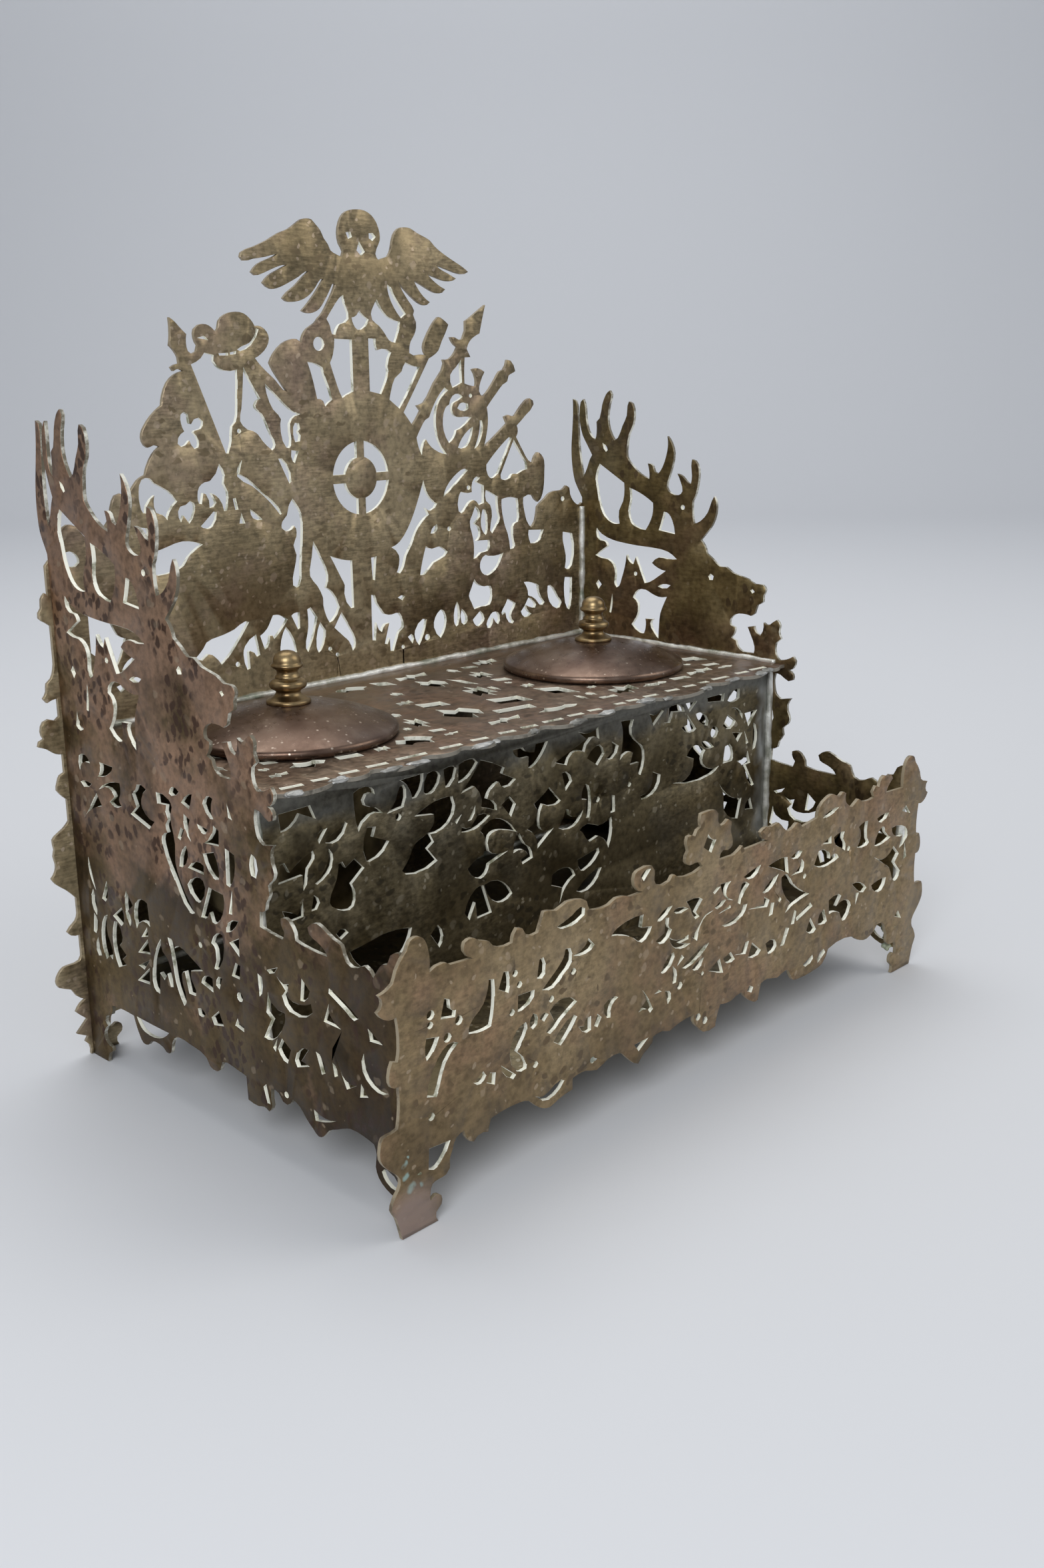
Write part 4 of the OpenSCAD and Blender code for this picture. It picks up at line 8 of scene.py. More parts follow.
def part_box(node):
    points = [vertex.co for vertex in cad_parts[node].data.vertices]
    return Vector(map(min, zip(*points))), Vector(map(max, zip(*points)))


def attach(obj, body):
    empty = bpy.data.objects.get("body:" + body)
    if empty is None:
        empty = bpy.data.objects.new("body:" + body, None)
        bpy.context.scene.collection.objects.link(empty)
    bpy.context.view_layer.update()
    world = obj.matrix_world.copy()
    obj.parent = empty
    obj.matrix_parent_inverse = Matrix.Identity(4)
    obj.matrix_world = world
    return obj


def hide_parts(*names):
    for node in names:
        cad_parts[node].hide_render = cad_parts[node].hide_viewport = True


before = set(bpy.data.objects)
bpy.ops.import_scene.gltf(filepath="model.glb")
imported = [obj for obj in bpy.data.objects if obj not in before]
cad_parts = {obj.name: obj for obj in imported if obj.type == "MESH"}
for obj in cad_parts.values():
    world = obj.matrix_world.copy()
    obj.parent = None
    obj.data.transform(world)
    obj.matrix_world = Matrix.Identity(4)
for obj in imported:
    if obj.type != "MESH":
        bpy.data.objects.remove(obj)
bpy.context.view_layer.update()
MM = 0.001

# ---- Camera ----
# Stands off the stand's left front corner, a little lower than the top of its back plate, and
# looks down at it; the frame is upright, with table showing all round the stand.
camera_place = Vector((-320.77, -314.995, 201.72)) * MM
turn_right = math.radians(45.804)
look_down = math.radians(15.854)
roll = math.radians(-0.497)
camera_data = bpy.data.cameras.new("camera")
camera_data.lens = 34.65
camera_data.sensor_width = 36.0
camera = bpy.data.objects.new("camera", camera_data)
camera.matrix_world = (
    Matrix.Translation(camera_place)
    @ Matrix.Rotation(-turn_right, 4, "Z")
    @ Matrix.Rotation(math.pi / 2 - look_down, 4, "X")
    @ Matrix.Rotation(roll, 4, "Z")
)
bpy.context.scene.collection.objects.link(camera)
bpy.context.scene.camera = camera
bpy.context.scene.render.resolution_x = 1568
bpy.context.scene.render.resolution_y = 2355
bpy.context.scene.view_settings.view_transform = "Standard"

# ---- Studio ----
# A pale table top that runs up into a pale wall in one sweep. A soft lamp lights the stand from the
# left, weaker ones from the right and from above, and another lamp and an even sky the wall.
TABLE_COLOUR = (0.66, 0.67, 0.69, 1)
SKY_COLOUR = (0.60, 0.63, 0.68, 1)
SWEEP_START = -2.6
SWEEP_BEND = 1.5
SWEEP_RADIUS = 0.7
SWEEP_TOP = 2.6
SWEEP_HALF = 4.5
SWEEP_FLAT_SHARE = 0.4
SWEEP_BEND_SHARE = 0.5
TABLE_DROP = 0.2 * MM


def clear_selection():
    if bpy.context.object and bpy.context.object.mode != "OBJECT":
        bpy.ops.object.mode_set(mode="OBJECT")
    bpy.ops.object.select_all(action="DESELECT")


def sweep_point(share):
    """Distance along the view and height of the sweep, for a share of its length from 0 to 1."""
    if share < SWEEP_FLAT_SHARE:
        return SWEEP_START + (SWEEP_BEND - SWEEP_START) * share / SWEEP_FLAT_SHARE, 0
    beyond = share - SWEEP_FLAT_SHARE
    if beyond < SWEEP_BEND_SHARE:
        angle = math.pi / 2 * beyond / SWEEP_BEND_SHARE
        return SWEEP_BEND + SWEEP_RADIUS * math.sin(angle), SWEEP_RADIUS * (1 - math.cos(angle))
    up = (beyond - SWEEP_BEND_SHARE) / (1 - SWEEP_FLAT_SHARE - SWEEP_BEND_SHARE)
    return SWEEP_BEND + SWEEP_RADIUS, SWEEP_RADIUS + (SWEEP_TOP - SWEEP_RADIUS) * up


clear_selection()
bpy.ops.mesh.primitive_grid_add(x_subdivisions=4, y_subdivisions=60, size=1, location=(0, 0, 0))
sweep = bpy.context.object
sweep.name = "sweep"
for vertex in sweep.data.vertices:
    ahead, height = sweep_point(vertex.co.y + 0.5)
    across = vertex.co.x * 2 * SWEEP_HALF
    vertex.co = (
        ahead * math.sin(turn_right) + across * math.cos(turn_right),
        ahead * math.cos(turn_right) - across * math.sin(turn_right),
        height - TABLE_DROP,
    )
bpy.ops.object.shade_smooth()
sweep_paint = bpy.data.materials.new("pale_sweep")
sweep_paint.use_nodes = True
sweep_shader = sweep_paint.node_tree.nodes["Principled BSDF"]
sweep_shader.inputs["Base Color"].default_value = TABLE_COLOUR
sweep_shader.inputs["Roughness"].default_value = 0.65
sweep.data.materials.append(sweep_paint)

world = bpy.data.worlds.new("studio")
bpy.context.scene.world = world
world.use_nodes = True
sky = world.node_tree.nodes["Background"]
sky.inputs["Color"].default_value = SKY_COLOUR
sky.inputs["Strength"].default_value = 0.6


def soft_lamp(name, place, target, size, watts, colour):
    """A round area lamp of the given diameter at place, facing target."""
    data = bpy.data.lights.new(name, "AREA")
    data.shape = "DISK"
    data.size = size
    data.energy = watts
    data.color = colour
    lamp = bpy.data.objects.new(name, data)
    lamp.location = place
    aim = Vector(target) - Vector(place)
    lamp.rotation_euler = aim.to_track_quat("-Z", "Y").to_euler()
    bpy.context.scene.collection.objects.link(lamp)


ON_STAND = (0, 0, 0.08)
ON_WALL = (1.7, 1.63, 0.8)
soft_lamp("window", (-0.9, -0.62, 0.75), ON_STAND, 0.7, 9.0, (0.95, 0.97, 1.0))
soft_lamp("room", (0.8, -0.77, 0.9), ON_STAND, 0.9, 3.5, (1.0, 0.96, 0.9))
soft_lamp("wall_wash", (0.55, 0.48, 1.7), ON_WALL, 1.2, 11.0, (0.97, 0.98, 1.0))
soft_lamp("ceiling", (0.1, 0.43, 1.2), ON_STAND, 1.0, 5.0, (1.0, 0.99, 0.97))


# ---- Back plate ----
# Sawn from 1.2 mm brass sheet; its front is mottled olive brown with paler water spots and fine
# level scratches, and the sawn walls of its cuts are painted near white as a painted highlight,
# with dull patches. Soldered to the side panels.

# How far the outlines of stains wander, how much of the sheet a stain hides, the cell scale and
# strength of each size of dried drop, and how much the noise shifts with height where tarnish
# thins out low down, which is painted shade
WARP = 4 * MM
STAIN_STRENGTH = 0.85
DROP_SIZES = ((210, 0.42), (430, 0.6))
PAINTED_SHADE_RISE = 0.2


def add_node(nodes, kind, **settings):
    """A new shader node of the kind, with the settings given."""
    made = nodes.new("ShaderNode" + kind)
    for key, value in settings.items():
        setattr(made, key, value)
    return made


def new_finish(name):
    """A new material, its nodes, links and shader, and the socket of its object coordinates."""
    finish = bpy.data.materials.new(name)
    finish.use_nodes = True
    nodes = finish.node_tree.nodes
    where = add_node(nodes, "TexCoord").outputs["Object"]
    return finish, nodes, finish.node_tree.links, nodes["Principled BSDF"], where


def grey(value):
    return (value, value, value, 1)


def ramp(nodes, links, value, stops):
    """The colour between (value, colour) stops at a value."""
    made = nodes.new("ShaderNodeValToRGB")
    bar = made.color_ramp
    while len(bar.elements) > 1:
        bar.elements.remove(bar.elements[0])
    bar.elements[0].position = stops[0][0]
    bar.elements[0].color = stops[0][1]
    for place, colour in stops[1:]:
        bar.elements.new(place).color = colour
    links.new(value, made.inputs["Fac"])
    return made.outputs["Color"]


def mask_from(nodes, links, value, start, end):
    """0 up to the start value, 1 from the end value on."""
    return ramp(nodes, links, value, [(start, grey(0)), (end, grey(1))])


def noise_at(nodes, links, where, scale, detail, rough):
    """Cloudy noise from 0 to 1 at a place, mostly near 0.5; a higher scale makes it finer."""
    made = add_node(nodes, "TexNoise")
    made.inputs["Scale"].default_value = scale
    made.inputs["Detail"].default_value = detail
    made.inputs["Roughness"].default_value = rough
    links.new(where, made.inputs["Vector"])
    return made.outputs["Fac"]


def stretched(nodes, links, where, scale, turn=(0, 0, 0)):
    """Places scaled along each axis, to draw a pattern out, and turned."""
    made = add_node(nodes, "Mapping")
    made.inputs["Scale"].default_value = scale
    made.inputs["Rotation"].default_value = turn
    links.new(where, made.inputs["Vector"])
    return made.outputs["Vector"]


def rescaled(nodes, links, value, start, end, to_start=0, to_end=1):
    """to_start up to the start value and to_end from the end value on, even in between."""
    made = add_node(nodes, "MapRange")
    made.inputs["From Min"].default_value = start
    made.inputs["From Max"].default_value = end
    made.inputs["To Min"].default_value = to_start
    made.inputs["To Max"].default_value = to_end
    links.new(value, made.inputs["Value"])
    return made.outputs["Result"]


def height_of(nodes, links, where):
    made = add_node(nodes, "SeparateXYZ")
    links.new(where, made.inputs[0])
    return made.outputs["Z"]


def times(nodes, links, mask, amount):
    """A mask times a number or another mask."""
    made = add_node(nodes, "Math", operation="MULTIPLY")
    links.new(mask, made.inputs[0])
    if isinstance(amount, (int, float)):
        made.inputs[1].default_value = amount
    else:
        links.new(amount, made.inputs[1])
    return made.outputs[0]


def blend_colour(nodes, links, share, first, second, how="MIX"):
    """The first colour with a share of the second; each of the three a value or a socket."""
    made = add_node(nodes, "Mix", data_type="RGBA", blend_type=how)
    for value, socket in ((share, 0), (first, 6), (second, 7)):
        if isinstance(value, (int, float, tuple)):
            made.inputs[socket].default_value = value
        else:
            links.new(value, made.inputs[socket])
    return made.outputs[2]


def relief(nodes, links, height, strength, depth, under=None):
    """A surface normal shaped by a height, on top of the normal under it."""
    made = add_node(nodes, "Bump")
    made.inputs["Strength"].default_value = strength
    made.inputs["Distance"].default_value = depth
    links.new(height, made.inputs["Height"])
    if under:
        links.new(under, made.inputs["Normal"])
    return made.outputs["Normal"]


def cell_marks(nodes, links, where, scale, reach, chosen):
    """Rounded marks in a share of the cells of a Voronoi pattern: 1 on a mark, 0 off it."""
    cells = add_node(nodes, "TexVoronoi", feature="F1")
    cells.inputs["Scale"].default_value = scale
    links.new(where, cells.inputs["Vector"])
    inside = ramp(
        nodes, links, cells.outputs["Distance"], [(reach * 0.75, grey(1)), (reach, grey(0))]
    )
    split = add_node(nodes, "SeparateColor")
    links.new(cells.outputs["Color"], split.inputs["Color"])
    limit = 1 - chosen
    picked = mask_from(nodes, links, split.outputs[0], limit, min(1.0, limit + 0.04))
    return times(nodes, links, inside, picked)


def near(nodes, links, where, centre, reach):
    """1 close to a point, fading to 0 at the given distance."""
    apart = add_node(nodes, "VectorMath", operation="DISTANCE")
    links.new(where, apart.inputs[0])
    apart.inputs[1].default_value = centre
    return rescaled(nodes, links, apart.outputs["Value"], reach * 0.5, reach, 1, 0)


# Shifts tarnish with height so that less of it shows low down: painted shade, darker towards the
# bottom
def lifted_with_height_for_painted_shade(nodes, links, where, value, low, high):
    """The value less PAINTED_SHADE_RISE at the low height and plus PAINTED_SHADE_RISE at the high one."""
    height = height_of(nodes, links, where)
    total = add_node(nodes, "Math", operation="ADD")
    links.new(value, total.inputs[0])
    lift = rescaled(nodes, links, height, low, high, -PAINTED_SHADE_RISE, PAINTED_SHADE_RISE)
    links.new(lift, total.inputs[1])
    return total.outputs[0]


def aged_sheet(name, tones, tarnish, streaks, spots, blots, blooms=(), band=None):
    """Patina of an old brass sheet.

    tones: dark, middling and pale brown. tarnish: its colour, how far it has spread from 0 to 1,
    and the heights from which and up to which it grows, if it does; this growth with height is
    painted shade that leaves the sheet darker low down.
    streaks: mapping scale, mapping turn and strength of the fine rubbing lines. spots: colour and
    share of the dried drops. blots: colour, share, mapping scale of the dark drawn-out stains.
    blooms: place, reach and colour of single stains. band: colour and heights of smeared solder.
    """
    finish, nodes, links, shader, where = new_finish(name)
    # Broad patina
    broad = noise_at(nodes, links, where, 26, 5, 0.55)
    patina = ramp(nodes, links, broad, [(0.33, tones[0]), (0.5, tones[1]), (0.7, tones[2])])
    # Mottling a millimetre or two across
    small = noise_at(nodes, links, where, 480, 4, 0.62)
    mottle = ramp(nodes, links, small, [(0.36, grey(0.74)), (0.5, grey(1.0)), (0.66, grey(1.2))])
    colour = blend_colour(nodes, links, 1.0, patina, mottle, "MULTIPLY")
    # Tarnish in drifting patches
    drift = noise_at(nodes, links, where, 34, 5, 0.62)
    # With heights given, tarnish thins out low down: painted shade, darker towards the bottom
    if len(tarnish) == 4:
        drift = lifted_with_height_for_painted_shade(nodes, links, where, drift, tarnish[2], tarnish[3])
    edge = 0.68 - 0.3 * tarnish[1]
    patches = mask_from(nodes, links, drift, edge - 0.09, edge + 0.09)
    spread = times(nodes, links, patches, STAIN_STRENGTH)
    tarnished = blend_colour(nodes, links, 1.0, tarnish[0], mottle, "MULTIPLY")
    colour = blend_colour(nodes, links, spread, colour, tarnished)
    # Rubbing lines, strongest where the plate was polished most
    lined = stretched(nodes, links, where, streaks[0], streaks[1])
    streak = noise_at(nodes, links, lined, 1.0, 4, 0.6)
    streak_shade = ramp(
        nodes, links, streak,
        [(0.4, grey(0.66)), (0.45, grey(0.94)), (0.52, grey(1.0)), (0.58, grey(1.3))],
    )
    polished = mask_from(nodes, links, noise_at(nodes, links, where, 30, 3, 0.5), 0.36, 0.56)
    rubbed = times(nodes, links, polished, streaks[2])
    colour = blend_colour(nodes, links, rubbed, colour, streak_shade, "MULTIPLY")
    # Dark drawn-out stains, in clusters
    bent = add_node(nodes, "VectorMath", operation="MULTIPLY_ADD")
    links.new(noise_at(nodes, links, where, 260, 2, 0.5), bent.inputs[0])
    bent.inputs[1].default_value = (WARP, WARP, WARP)
    links.new(where, bent.inputs[2])
    bent = bent.outputs[0]
    blot_where = stretched(nodes, links, bent, blots[2])
    blot = cell_marks(nodes, links, blot_where, 1.0, 0.5, blots[1])
    clusters = mask_from(nodes, links, noise_at(nodes, links, where, 46, 3, 0.6), 0.46, 0.56)
    clustered = times(nodes, links, times(nodes, links, blot, clusters), STAIN_STRENGTH)
    colour = blend_colour(nodes, links, clustered, colour, blots[0])
    # Pale dried drops
    for size, strength in DROP_SIZES:
        drops = times(nodes, links, cell_marks(nodes, links, bent, size, 0.3, spots[1]), strength)
        colour = blend_colour(nodes, links, drops, colour, spots[0])
    # Stains at single places
    for centre, reach, tint in blooms:
        bent_centre = Vector(centre) + Vector((1, 1, 1)) * WARP / 2
        bloom = near(nodes, links, bent, bent_centre, reach)
        bloom = times(nodes, links, bloom, STAIN_STRENGTH)
        colour = blend_colour(nodes, links, bloom, colour, tint)
    # Solder smeared over the face
    if band:
        lift = rescaled(nodes, links, height_of(nodes, links, where), band[1], band[2])
        smear = add_node(nodes, "Math", operation="MULTIPLY_ADD")
        links.new(broad, smear.inputs[0])
        smear.inputs[1].default_value = 1.6
        links.new(lift, smear.inputs[2])
        half = times(nodes, links, smear.outputs[0], 0.5)
        smear_share = mask_from(nodes, links, half, 0.62, 0.76)
        smear_share = times(nodes, links, smear_share, STAIN_STRENGTH)
        smudge = blend_colour(nodes, links, 1.0, band[0], mottle, "MULTIPLY")
        colour = blend_colour(nodes, links, smear_share, colour, smudge)
    links.new(colour, shader.inputs["Base Color"])
    shader.inputs["Metallic"].default_value = 0.86
    gloss = ramp(nodes, links, small, [(0.3, grey(0.34)), (0.7, grey(0.5))])
    links.new(gloss, shader.inputs["Roughness"])
    # Relief: waves from flattening, mottling and the rubbing lines
    normal = relief(nodes, links, noise_at(nodes, links, where, 24, 2, 0.5), 0.06, 2 * MM)
    normal = relief(nodes, links, small, 0.3, 0.1 * MM, normal)
    normal = relief(nodes, links, streak, 0.3, 0.08 * MM, normal)
    links.new(normal, shader.inputs["Normal"])
    return finish


def sawn_wall(name, bright, dull, dull_to=0.33):
    """Finish of a sawn edge, bright metal with dull patches where the noise is below dull_to."""
    finish, nodes, links, shader, where = new_finish(name)
    uneven = noise_at(nodes, links, where, 160, 5, 0.65)
    shade = ramp(nodes, links, uneven, [(dull_to, dull), (dull_to + 0.14, bright)])
    links.new(shade, shader.inputs["Base Color"])
    shader.inputs["Metallic"].default_value = 0.1
    shader.inputs["Roughness"].default_value = 0.5
    teeth = noise_at(nodes, links, where, 2200, 2, 0.5)
    links.new(relief(nodes, links, teeth, 0.4, 0.08 * MM), shader.inputs["Normal"])
    return finish


# Width of the eased edges, distance below which corners are one, share of a polygon's normal along
# the sheet's thickness above which it belongs to a face, and angle below which shading is smooth
EDGE_ROUND = 0.08 * MM
WELD = 0.02 * MM
FACE_LEAN = 0.7
SMOOTH_BELOW = math.radians(32)
FACE_SLOT, WALL_SLOT, RIM_SLOT = range(3)


def outline_walls(mesh, is_face):
    """Indices of the walls round the plate's outline, which is the widest chain of walls."""
    by_vertex = {}
    for polygon, flat in zip(mesh.polygons, is_face):
        if not flat:
            for corner in polygon.vertices:
                by_vertex.setdefault(corner, []).append(polygon.index)
    seen = set()
    widest = set()
    widest_size = 0
    for first in (p.index for p, flat in zip(mesh.polygons, is_face) if not flat):
        if first in seen:
            continue
        chain = {first}
        queue = [first]
        while queue:
            for corner in mesh.polygons[queue.pop()].vertices:
                for other in by_vertex[corner]:
                    if other not in chain:
                        chain.add(other)
                        queue.append(other)
        seen |= chain
        places = [mesh.vertices[i].co for k in chain for i in mesh.polygons[k].vertices]
        size = sum(
            max(place[axis] for place in places) - min(place[axis] for place in places)
            for axis in range(3)
        )
        if size > widest_size:
            widest_size, widest = size, chain
    return widest


def sawn_sheet(node, name, through, face, wall, rim):
    """A copy of a plate's solid with its sawn edges eased.

    through is the axis of the sheet's thickness, 0 to 2. face, wall and rim are the finishes of
    the sheet's faces, of the walls inside the cuts and of the walls round the outline.
    """
    clear_selection()
    piece = bpy.data.objects.new(name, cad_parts[node].data.copy())
    bpy.context.scene.collection.objects.link(piece)
    piece.data.materials.clear()
    for finish in (face, wall, rim):
        piece.data.materials.append(finish)
    piece.select_set(True)
    bpy.context.view_layer.objects.active = piece
    bpy.ops.object.mode_set(mode="EDIT")
    bpy.ops.mesh.select_all(action="SELECT")
    bpy.ops.mesh.remove_doubles(threshold=WELD)
    bpy.ops.object.mode_set(mode="OBJECT")
    mesh = piece.data
    is_face = [abs(polygon.normal[through]) > FACE_LEAN for polygon in mesh.polygons]
    round_the_outline = outline_walls(mesh, is_face)
    touching = {}
    for polygon, flat in zip(mesh.polygons, is_face):
        if flat:
            polygon.material_index = FACE_SLOT
        elif polygon.index in round_the_outline:
            polygon.material_index = RIM_SLOT
        else:
            polygon.material_index = WALL_SLOT
        for key in polygon.edge_keys:
            touching.setdefault(key, []).append(flat)
    weights = mesh.attributes.new("bevel_weight_edge", "FLOAT", "EDGE")
    for edge in mesh.edges:
        sides = touching.get(edge.key, [])
        is_corner = len(sides) == 2 and sides[0] != sides[1]
        weights.data[edge.index].value = 1.0 if is_corner else 0.0
    bevel = piece.modifiers.new("eased_edges", "BEVEL")
    bevel.limit_method = "WEIGHT"
    bevel.width = EDGE_ROUND
    bevel.segments = 1
    bevel.use_clamp_overlap = False
    bpy.ops.object.modifier_apply(modifier=bevel.name)
    bpy.ops.object.shade_smooth_by_angle(angle=SMOOTH_BELOW)
    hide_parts(node)
    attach(piece, "root")
    return piece


# The walls inside the cuts are near white and barely metallic: a painted highlight for the light
# the sawn edges catch, broken by dull patches
wall_with_painted_highlight = sawn_wall("sawn_wall_painted_highlight", (0.9, 0.89, 0.77, 1), (0.26, 0.26, 0.17, 1))
dull_rim = sawn_wall("sawn_rim_dull", (0.30, 0.245, 0.16, 1), (0.12, 0.09, 0.055, 1))
dark_rim = sawn_wall("sawn_rim_dark", (0.24, 0.22, 0.18, 1), (0.07, 0.06, 0.045, 1))
mixed_rim = sawn_wall(
    "sawn_rim_mixed", (0.68, 0.67, 0.58, 1), (0.15, 0.13, 0.09, 1), dull_to=0.46
)
back_finish = aged_sheet(
    "back_patina",
    tones=((0.215, 0.168, 0.095, 1), (0.315, 0.25, 0.148, 1), (0.4, 0.325, 0.205, 1)),
    tarnish=((0.29, 0.21, 0.155, 1), 0.3),
    streaks=((250, 250, 1500), (0, math.radians(3), 0), 0.7),
    spots=((0.54, 0.43, 0.32, 1), 0.3),
    blots=((0.19, 0.145, 0.085, 1), 0.3, (210, 210, 520)),
)
sawn_sheet("back_plate", "back_sheet", 1, back_finish, wall_with_painted_highlight, dull_rim)

# ---- Side panels ----
# Two plates sawn to one pattern, a stag's head over thicket; the left one has tarnished reddish
# and purplish, the right one has kept more of its brown.
# The left plate's tarnish thins out towards the bottom, which leaves its lower part darker: painted
# shade
left_finish = aged_sheet(
    "left_patina",
    tones=((0.05, 0.031, 0.015, 1), (0.09, 0.06, 0.028, 1), (0.17, 0.12, 0.055, 1)),
    tarnish=((0.325, 0.2, 0.128, 1), 0.55, 20 * MM, 135 * MM),
    streaks=((900, 800, 600), (math.radians(12), 0, 0), 0.2),
    spots=((0.4, 0.31, 0.21, 1), 0.16),
    blots=((0.06, 0.032, 0.022, 1), 0.75, (320, 420, 270)),
)
right_finish = aged_sheet(
    "right_patina",
    tones=((0.115, 0.084, 0.036, 1), (0.185, 0.14, 0.064, 1), (0.28, 0.215, 0.11, 1)),
    tarnish=((0.16, 0.105, 0.062, 1), 0.35),
    streaks=((300, 300, 1200), (math.radians(-5), 0, 0), 0.5),
    spots=((0.3, 0.24, 0.15, 1), 0.08),
    blots=((0.09, 0.062, 0.035, 1), 0.4, (300, 420, 260)),
)
sawn_sheet("side_panel_left", "left_sheet", 0, left_finish, wall_with_painted_highlight, mixed_rim)
sawn_sheet("side_panel_right", "right_sheet", 0, right_finish, wall_with_painted_highlight, mixed_rim)

# ---- Front gallery ----
# The low fence in front of the pen tray, warmer and browner than the rest from handling. Its left
# foot carries green spots of verdigris and a pale stain.
VERDIGRIS = (0.36, 0.5, 0.45, 1)
FOOT_STAIN = (0.36, 0.275, 0.235, 1)
foot_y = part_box("front_gallery")[0].y
gallery_finish = aged_sheet(
    "gallery_patina",
    tones=((0.165, 0.117, 0.062, 1), (0.245, 0.178, 0.096, 1), (0.33, 0.25, 0.145, 1)),
    tarnish=((0.29, 0.185, 0.11, 1), 0.4),
    streaks=((480, 480, 1100), (0, math.radians(-6), 0), 0.4),
    spots=((0.46, 0.36, 0.25, 1), 0.2),
    blots=((0.14, 0.098, 0.056, 1), 0.25, (300, 300, 420)),
    blooms=[
        ((across * MM, foot_y, height * MM), reach * MM, tint)
        for across, height, reach, tint in (
            (-112.2, 12.2, 1.5, VERDIGRIS),
            (-109.1, 11.8, 1.0, VERDIGRIS),
            (-113.5, 16.2, 1.1, VERDIGRIS),
            (-113.8, 19.3, 0.9, VERDIGRIS),
            (-112.9, 20.8, 0.6, VERDIGRIS),
            (-111.9, 2.2, 12, FOOT_STAIN),
        )
    ],
)
sawn_sheet("front_gallery", "gallery_sheet", 1, gallery_finish, wall_with_painted_highlight, dull_rim)

# ---- Box front, shelf and floor ----
# The box behind the tray: a shaded olive front, a reddish shelf with rows of slots whose walls are
# painted pale as a painted highlight, and a plain floor under both.
SMEARED_SOLDER = (0.34, 0.345, 0.33, 1)
SMEAR_HEIGHTS = (42, 50, 57, 66, 73, 82, 90)
SMEAR_INSET = 1.5 * MM
SMEAR_REACH = 7 * MM
box_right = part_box("box_front")[1].x
box_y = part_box("box_front")[0].y
box_finish = aged_sheet(
    "box_patina",
    tones=((0.105, 0.083, 0.045, 1), (0.18, 0.146, 0.083, 1), (0.29, 0.245, 0.16, 1)),
    tarnish=((0.15, 0.13, 0.09, 1), 0.3),
    streaks=((420, 420, 1000), (0, math.radians(24), 0), 0.8),
    spots=((0.5, 0.45, 0.34, 1), 0.2),
    blots=((0.075, 0.062, 0.04, 1), 0.4, (260, 260, 420)),
    blooms=[
        ((box_right - SMEAR_INSET, box_y, height * MM), SMEAR_REACH, SMEARED_SOLDER)
        for height in SMEAR_HEIGHTS
    ],
    band=((0.15, 0.15, 0.135, 1), 80 * MM, 95 * MM),
)
shelf_finish = aged_sheet(
    "shelf_patina",
    tones=((0.15, 0.108, 0.075, 1), (0.225, 0.165, 0.116, 1), (0.31, 0.235, 0.172, 1)),
    tarnish=((0.24, 0.155, 0.11, 1), 0.45),
    streaks=((260, 900, 260), (0, 0, math.radians(5)), 0.45),
    spots=((0.4, 0.33, 0.25, 1), 0.12),
    blots=((0.12, 0.08, 0.055, 1), 0.35, (220, 420, 220)),
)
sawn_sheet("box_front", "box_sheet", 1, box_finish, wall_with_painted_highlight, dull_rim)
shelf = sawn_sheet("shelf_plate", "shelf_sheet", 2, shelf_finish, wall_with_painted_highlight, dark_rim)
sawn_sheet("floor_plate", "floor_sheet", 2, box_finish, wall_with_painted_highlight, dull_rim)

# ---- Solder seams ----
# Soft solder run along each inner corner and round the shelf, lumpy and dull grey with a green
# cast, and drops of it along the shelf's front lip.
BEAD = 1.35 * MM
SIDE_BEAD = BEAD * 0.9
BEAD_STEP = 0.9 * MM
BEAD_SIDES = 20
BEAD_INWARD = 0.25
BEAD_FULLNESS = 0.86
BOX_BEAD_DROP = 1.6 * MM
LIP_OVERHANG = 2 * MM
# Pattern scale and height of the large and the small lumps
BEAD_LUMPS = ((160, 0.34), (520, 0.16))


def solder_finish(name, tones):
    """Cloudy metal between the dark, middling and bright tones, with a fine grain."""
    finish, nodes, links, shader, where = new_finish(name)
    blotch = noise_at(nodes, links, where, 110, 5, 0.6)
    shade = ramp(nodes, links, blotch, [(0.32, tones[0]), (0.44, tones[1]), (0.58, tones[2])])
    links.new(shade, shader.inputs["Base Color"])
    shader.inputs["Metallic"].default_value = 0.6
    shader.inputs["Roughness"].default_value = 0.42
    grain = noise_at(nodes, links, where, 1400, 3, 0.6)
    links.new(relief(nodes, links, grain, 0.5, 0.15 * MM), shader.inputs["Normal"])
    return finish


solder = solder_finish(
    "old_solder", ((0.24, 0.27, 0.21, 1), (0.46, 0.46, 0.4, 1), (0.8, 0.8, 0.76, 1))
)
lip_solder = solder_finish(
    "lip_solder", ((0.1, 0.095, 0.08, 1), (0.24, 0.235, 0.21, 1), (0.5, 0.5, 0.48, 1))
)


